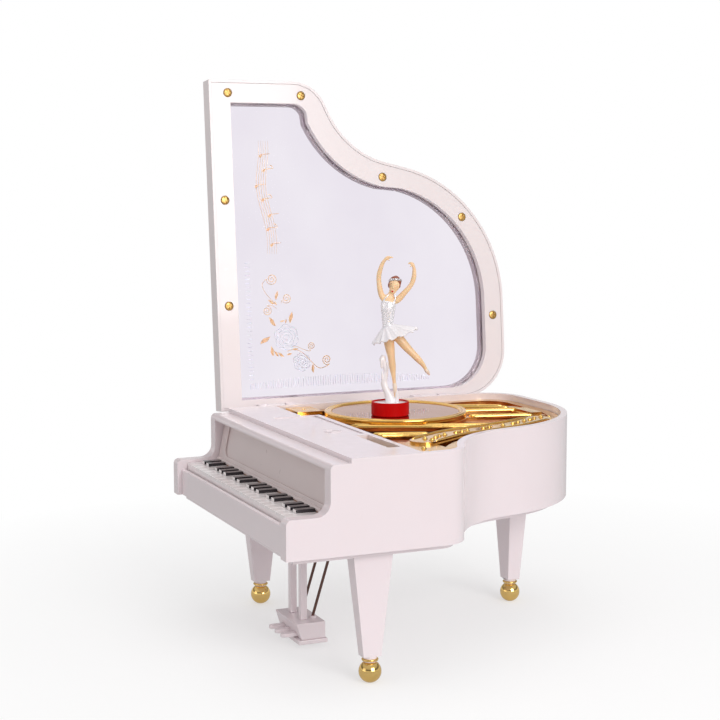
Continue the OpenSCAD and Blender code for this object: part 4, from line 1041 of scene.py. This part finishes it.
def make_print():
    gold = bmesh.new()
    curl(gold, (48.3, 51.3), 2.5, 180, -2.1, [(43.9, 49.0), (45.2, 45.6), (47.6, 42.8), (50.2, 40.4)])
    curl(gold, (54.7, 42.9), 2.2, 200, -2.0, [(52.3, 41.4), (52.3, 40.9)])
    curl(gold, (45.7, 37.8), 2.1, 90, 2.0, [(47.2, 40.2), (48.8, 39.6), (50.1, 38.6)])
    curl(gold, (65.5, 22.0), 1.7, 250, 2.0, [(64.4, 19.9), (61.8, 20.6), (58.8, 22.0), (56.6, 22.2)])
    stem = [(71.9, 12.9), (68.6, 12.4), (65.2, 15.2), (61.8, 18.8), (58, 20.8), (54.2, 20.2)]
    curl(gold, (72.4, 15.8), 2.2, 300, 2.0, stem, 0.42)
    for centre, angle, length in (
        ((50.3, 44.4), 80, 4.2), ((47.7, 41.6), 150, 3.8), ((49.6, 41), 120, 2.2),
        ((47.8, 33.2), 130, 5.2), ((52.3, 33.2), 200, 2.4), ((54.1, 33.2), 85, 2.2),
        ((56.5, 34.8), 80, 5.4), ((44.5, 25.4), 35, 5.8), ((47.4, 20.6), 105, 4.8),
        ((49.2, 19.4), 130, 3.4), ((51.2, 18.9), 150, 3.6), ((55.2, 18.9), 20, 2.8),
        ((58, 20.9), 10, 3.0), ((65.8, 12.4), 95, 4.2),
    ):
        leaf(gold, centre, angle, length)
    # a wavy stave with notes runs up beside the flourish
    def on_stave(line, f):
        return 43.6 + 1.05 * line + 1.1 * sin(f * 2.6 * pi) + 3.2 * (1 - f) ** 2, 62 + 48 * f

    for line in range(5):
        ribbon(gold, [on_stave(line, i / 16) for i in range(17)], 0.2)
    notes = ((0.08, 2), (0.22, 1), (0.34, 3), (0.48, 2), (0.6, 0), (0.74, 3), (0.87, 1))
    for k, (f, line) in enumerate(notes):
        y, x = on_stave(line, f)
        leaf(gold, (y, x), 70, 2.0, 0.75)
        ribbon(gold, [(y + 0.3, x + 0.6), (y + 2.2, x + 0.7), (y + 4.2, x + 0.9)], 0.3)
        if k % 2:
            ribbon(gold, [(y + 4.2, x + 0.9), (y + 3.4, x + 2.0), (y + 2.3, x + 2.2)], 0.35)
    piece("print_scrolls", gold, "lid", PRINT_GOLD, "gold_screw", shaded=False)
    silver = bmesh.new()
    rose(silver, (54.1, 26.2), 5.2)
    rose(silver, (60.7, 15.3), 3.7)
    piece("print_roses", silver, "lid", PRINT_SILVER, "steel", shaded=False)
    # the fluted border is not modelled in relief: pale lines painted along each flute stand for its
    # highlights, a painted highlight
    flute_highlights = bmesh.new()
    foot, count = 4.6, 74
    for k in range(count):
        y = 37 + 1.15 * k
        tall = 1.2 + 3.4 * sin(pi * min(1, (k + 3) / (count + 3))) ** 0.5
        ribbon(flute_highlights, [(y, foot), (y, foot + tall / 2), (y, foot + tall)], 0.34)
    for k in range(30):
        x = 9 + 1.7 * k
        ribbon(flute_highlights, [(36.4, x), (37.5, x), (38.6, x)], 0.3)
    piece("pane_flute_highlights", flute_highlights, "lid", FLUTE_HIGHLIGHT_PAINT, "steel", shaded=False)


make_print()

# ---------------------------------------------------------------------------
# Studio
# ---------------------------------------------------------------------------


def make_stage():
    """Pale paper, shaded near the piano and pure white further out."""
    bm = bmesh.new()
    bmesh.ops.create_grid(bm, x_segments=2, y_segments=2, size=6)
    mesh = bpy.data.meshes.new("floor")
    bm.to_mesh(mesh)
    bm.free()
    floor = new_object("floor", mesh)
    m = Nodes("floor_paper")
    m.colour(m.ramp(m.noise(6, 3), (0.3, (0.94, 0.94, 0.94)), (0.7, (0.96, 0.96, 0.96))))
    m.set(Roughness=0.95)
    far = m.add("ShaderNodeVectorMath", operation="LENGTH")
    m.link(m.coords, far.inputs[0])
    glow = m.add("ShaderNodeEmission")
    glow.inputs["Color"].default_value = (1, 1, 1, 1)
    rays = m.add("ShaderNodeLightPath")
    seen = m.add("ShaderNodeMath", operation="MAXIMUM")
    m.link(rays.outputs["Is Camera Ray"], seen.inputs[0])
    m.link(rays.outputs["Is Transmission Ray"], seen.inputs[1])
    m.link(m.span(seen.outputs["Value"], 0.5, 1.0), glow.inputs["Strength"])
    mix = m.add("ShaderNodeMixShader")
    out = next(n for n in m.tree.nodes if n.type == "OUTPUT_MATERIAL")
    m.link(m.span(far.outputs["Value"], 0.5, 1.0, 0.06, 0.28), mix.inputs["Fac"])
    m.link(m.shader.outputs["BSDF"], mix.inputs[1])
    m.link(glow.outputs["Emission"], mix.inputs[2])
    m.link(mix.outputs["Shader"], out.inputs["Surface"])
    floor.data.materials.append(m.mat)


def area_light(name, place, aim, size, power, colour=(1, 1, 1)):
    data = bpy.data.lights.new(name, "AREA")
    data.shape = "RECTANGLE"
    data.size, data.size_y = size
    data.energy = power
    data.color = colour
    ob = bpy.data.objects.new(name, data)
    ob.location = place
    ob.rotation_euler = (Vector(aim) - Vector(place)).to_track_quat("-Z", "Y").to_euler()
    bpy.context.scene.collection.objects.link(ob)


def make_world():
    """White behind everything; a softer room with a dark band for what is lit and reflected."""
    world = bpy.data.worlds.new("studio")
    bpy.context.scene.world = world
    world.use_nodes = True
    tree = world.node_tree
    back = tree.nodes["Background"]
    coords = tree.nodes.new("ShaderNodeTexCoord")
    split = tree.nodes.new("ShaderNodeSeparateXYZ")
    tree.links.new(coords.outputs["Generated"], split.inputs["Vector"])
    ramp = tree.nodes.new("ShaderNodeValToRGB")
    span = tree.nodes.new("ShaderNodeMapRange")
    span.inputs["From Min"].default_value = -1
    tree.links.new(split.outputs["Z"], span.inputs["Value"])
    tree.links.new(span.outputs["Result"], ramp.inputs["Fac"])
    stops = ((0.0, 0.45), (0.5, 0.6), (0.585, 0.85), (0.62, 0.3), (0.70, 0.16), (0.76, 0.6), (1.0, 0.7))
    while len(ramp.color_ramp.elements) < len(stops):
        ramp.color_ramp.elements.new(0.5)
    for element, (place, level) in zip(ramp.color_ramp.elements, stops):
        element.position = place
        element.color = (level, level * 0.985, level * 0.985, 1)
    rays = tree.nodes.new("ShaderNodeLightPath")
    mix = tree.nodes.new("ShaderNodeMix")
    mix.data_type = "RGBA"
    seen = tree.nodes.new("ShaderNodeMath")
    seen.operation = "MAXIMUM"
    tree.links.new(rays.outputs["Is Camera Ray"], seen.inputs[0])
    tree.links.new(rays.outputs["Is Transmission Ray"], seen.inputs[1])
    tree.links.new(seen.outputs["Value"], mix.inputs["Factor"])
    tree.links.new(ramp.outputs["Color"], mix.inputs[6])
    mix.inputs[7].default_value = (1, 1, 1, 1)
    tree.links.new(mix.outputs[2], back.inputs["Color"])
    back.inputs["Strength"].default_value = 1.0


make_stage()
make_world()
area_light("key", (1.05, 0.12, 0.5), (0, 0, 0.08), (0.6, 0.6), 7.2, (1, 0.99, 0.985))
area_light("front", (0.1, -1.2, 0.35), (0, 0, 0.08), (0.7, 0.5), 1.1, (1, 0.93, 0.92))
area_light("top", (-0.05, 0.05, 1.1), (0, 0, 0.08), (0.8, 0.8), 1.6)
bpy.context.scene.view_settings.view_transform = "Standard"
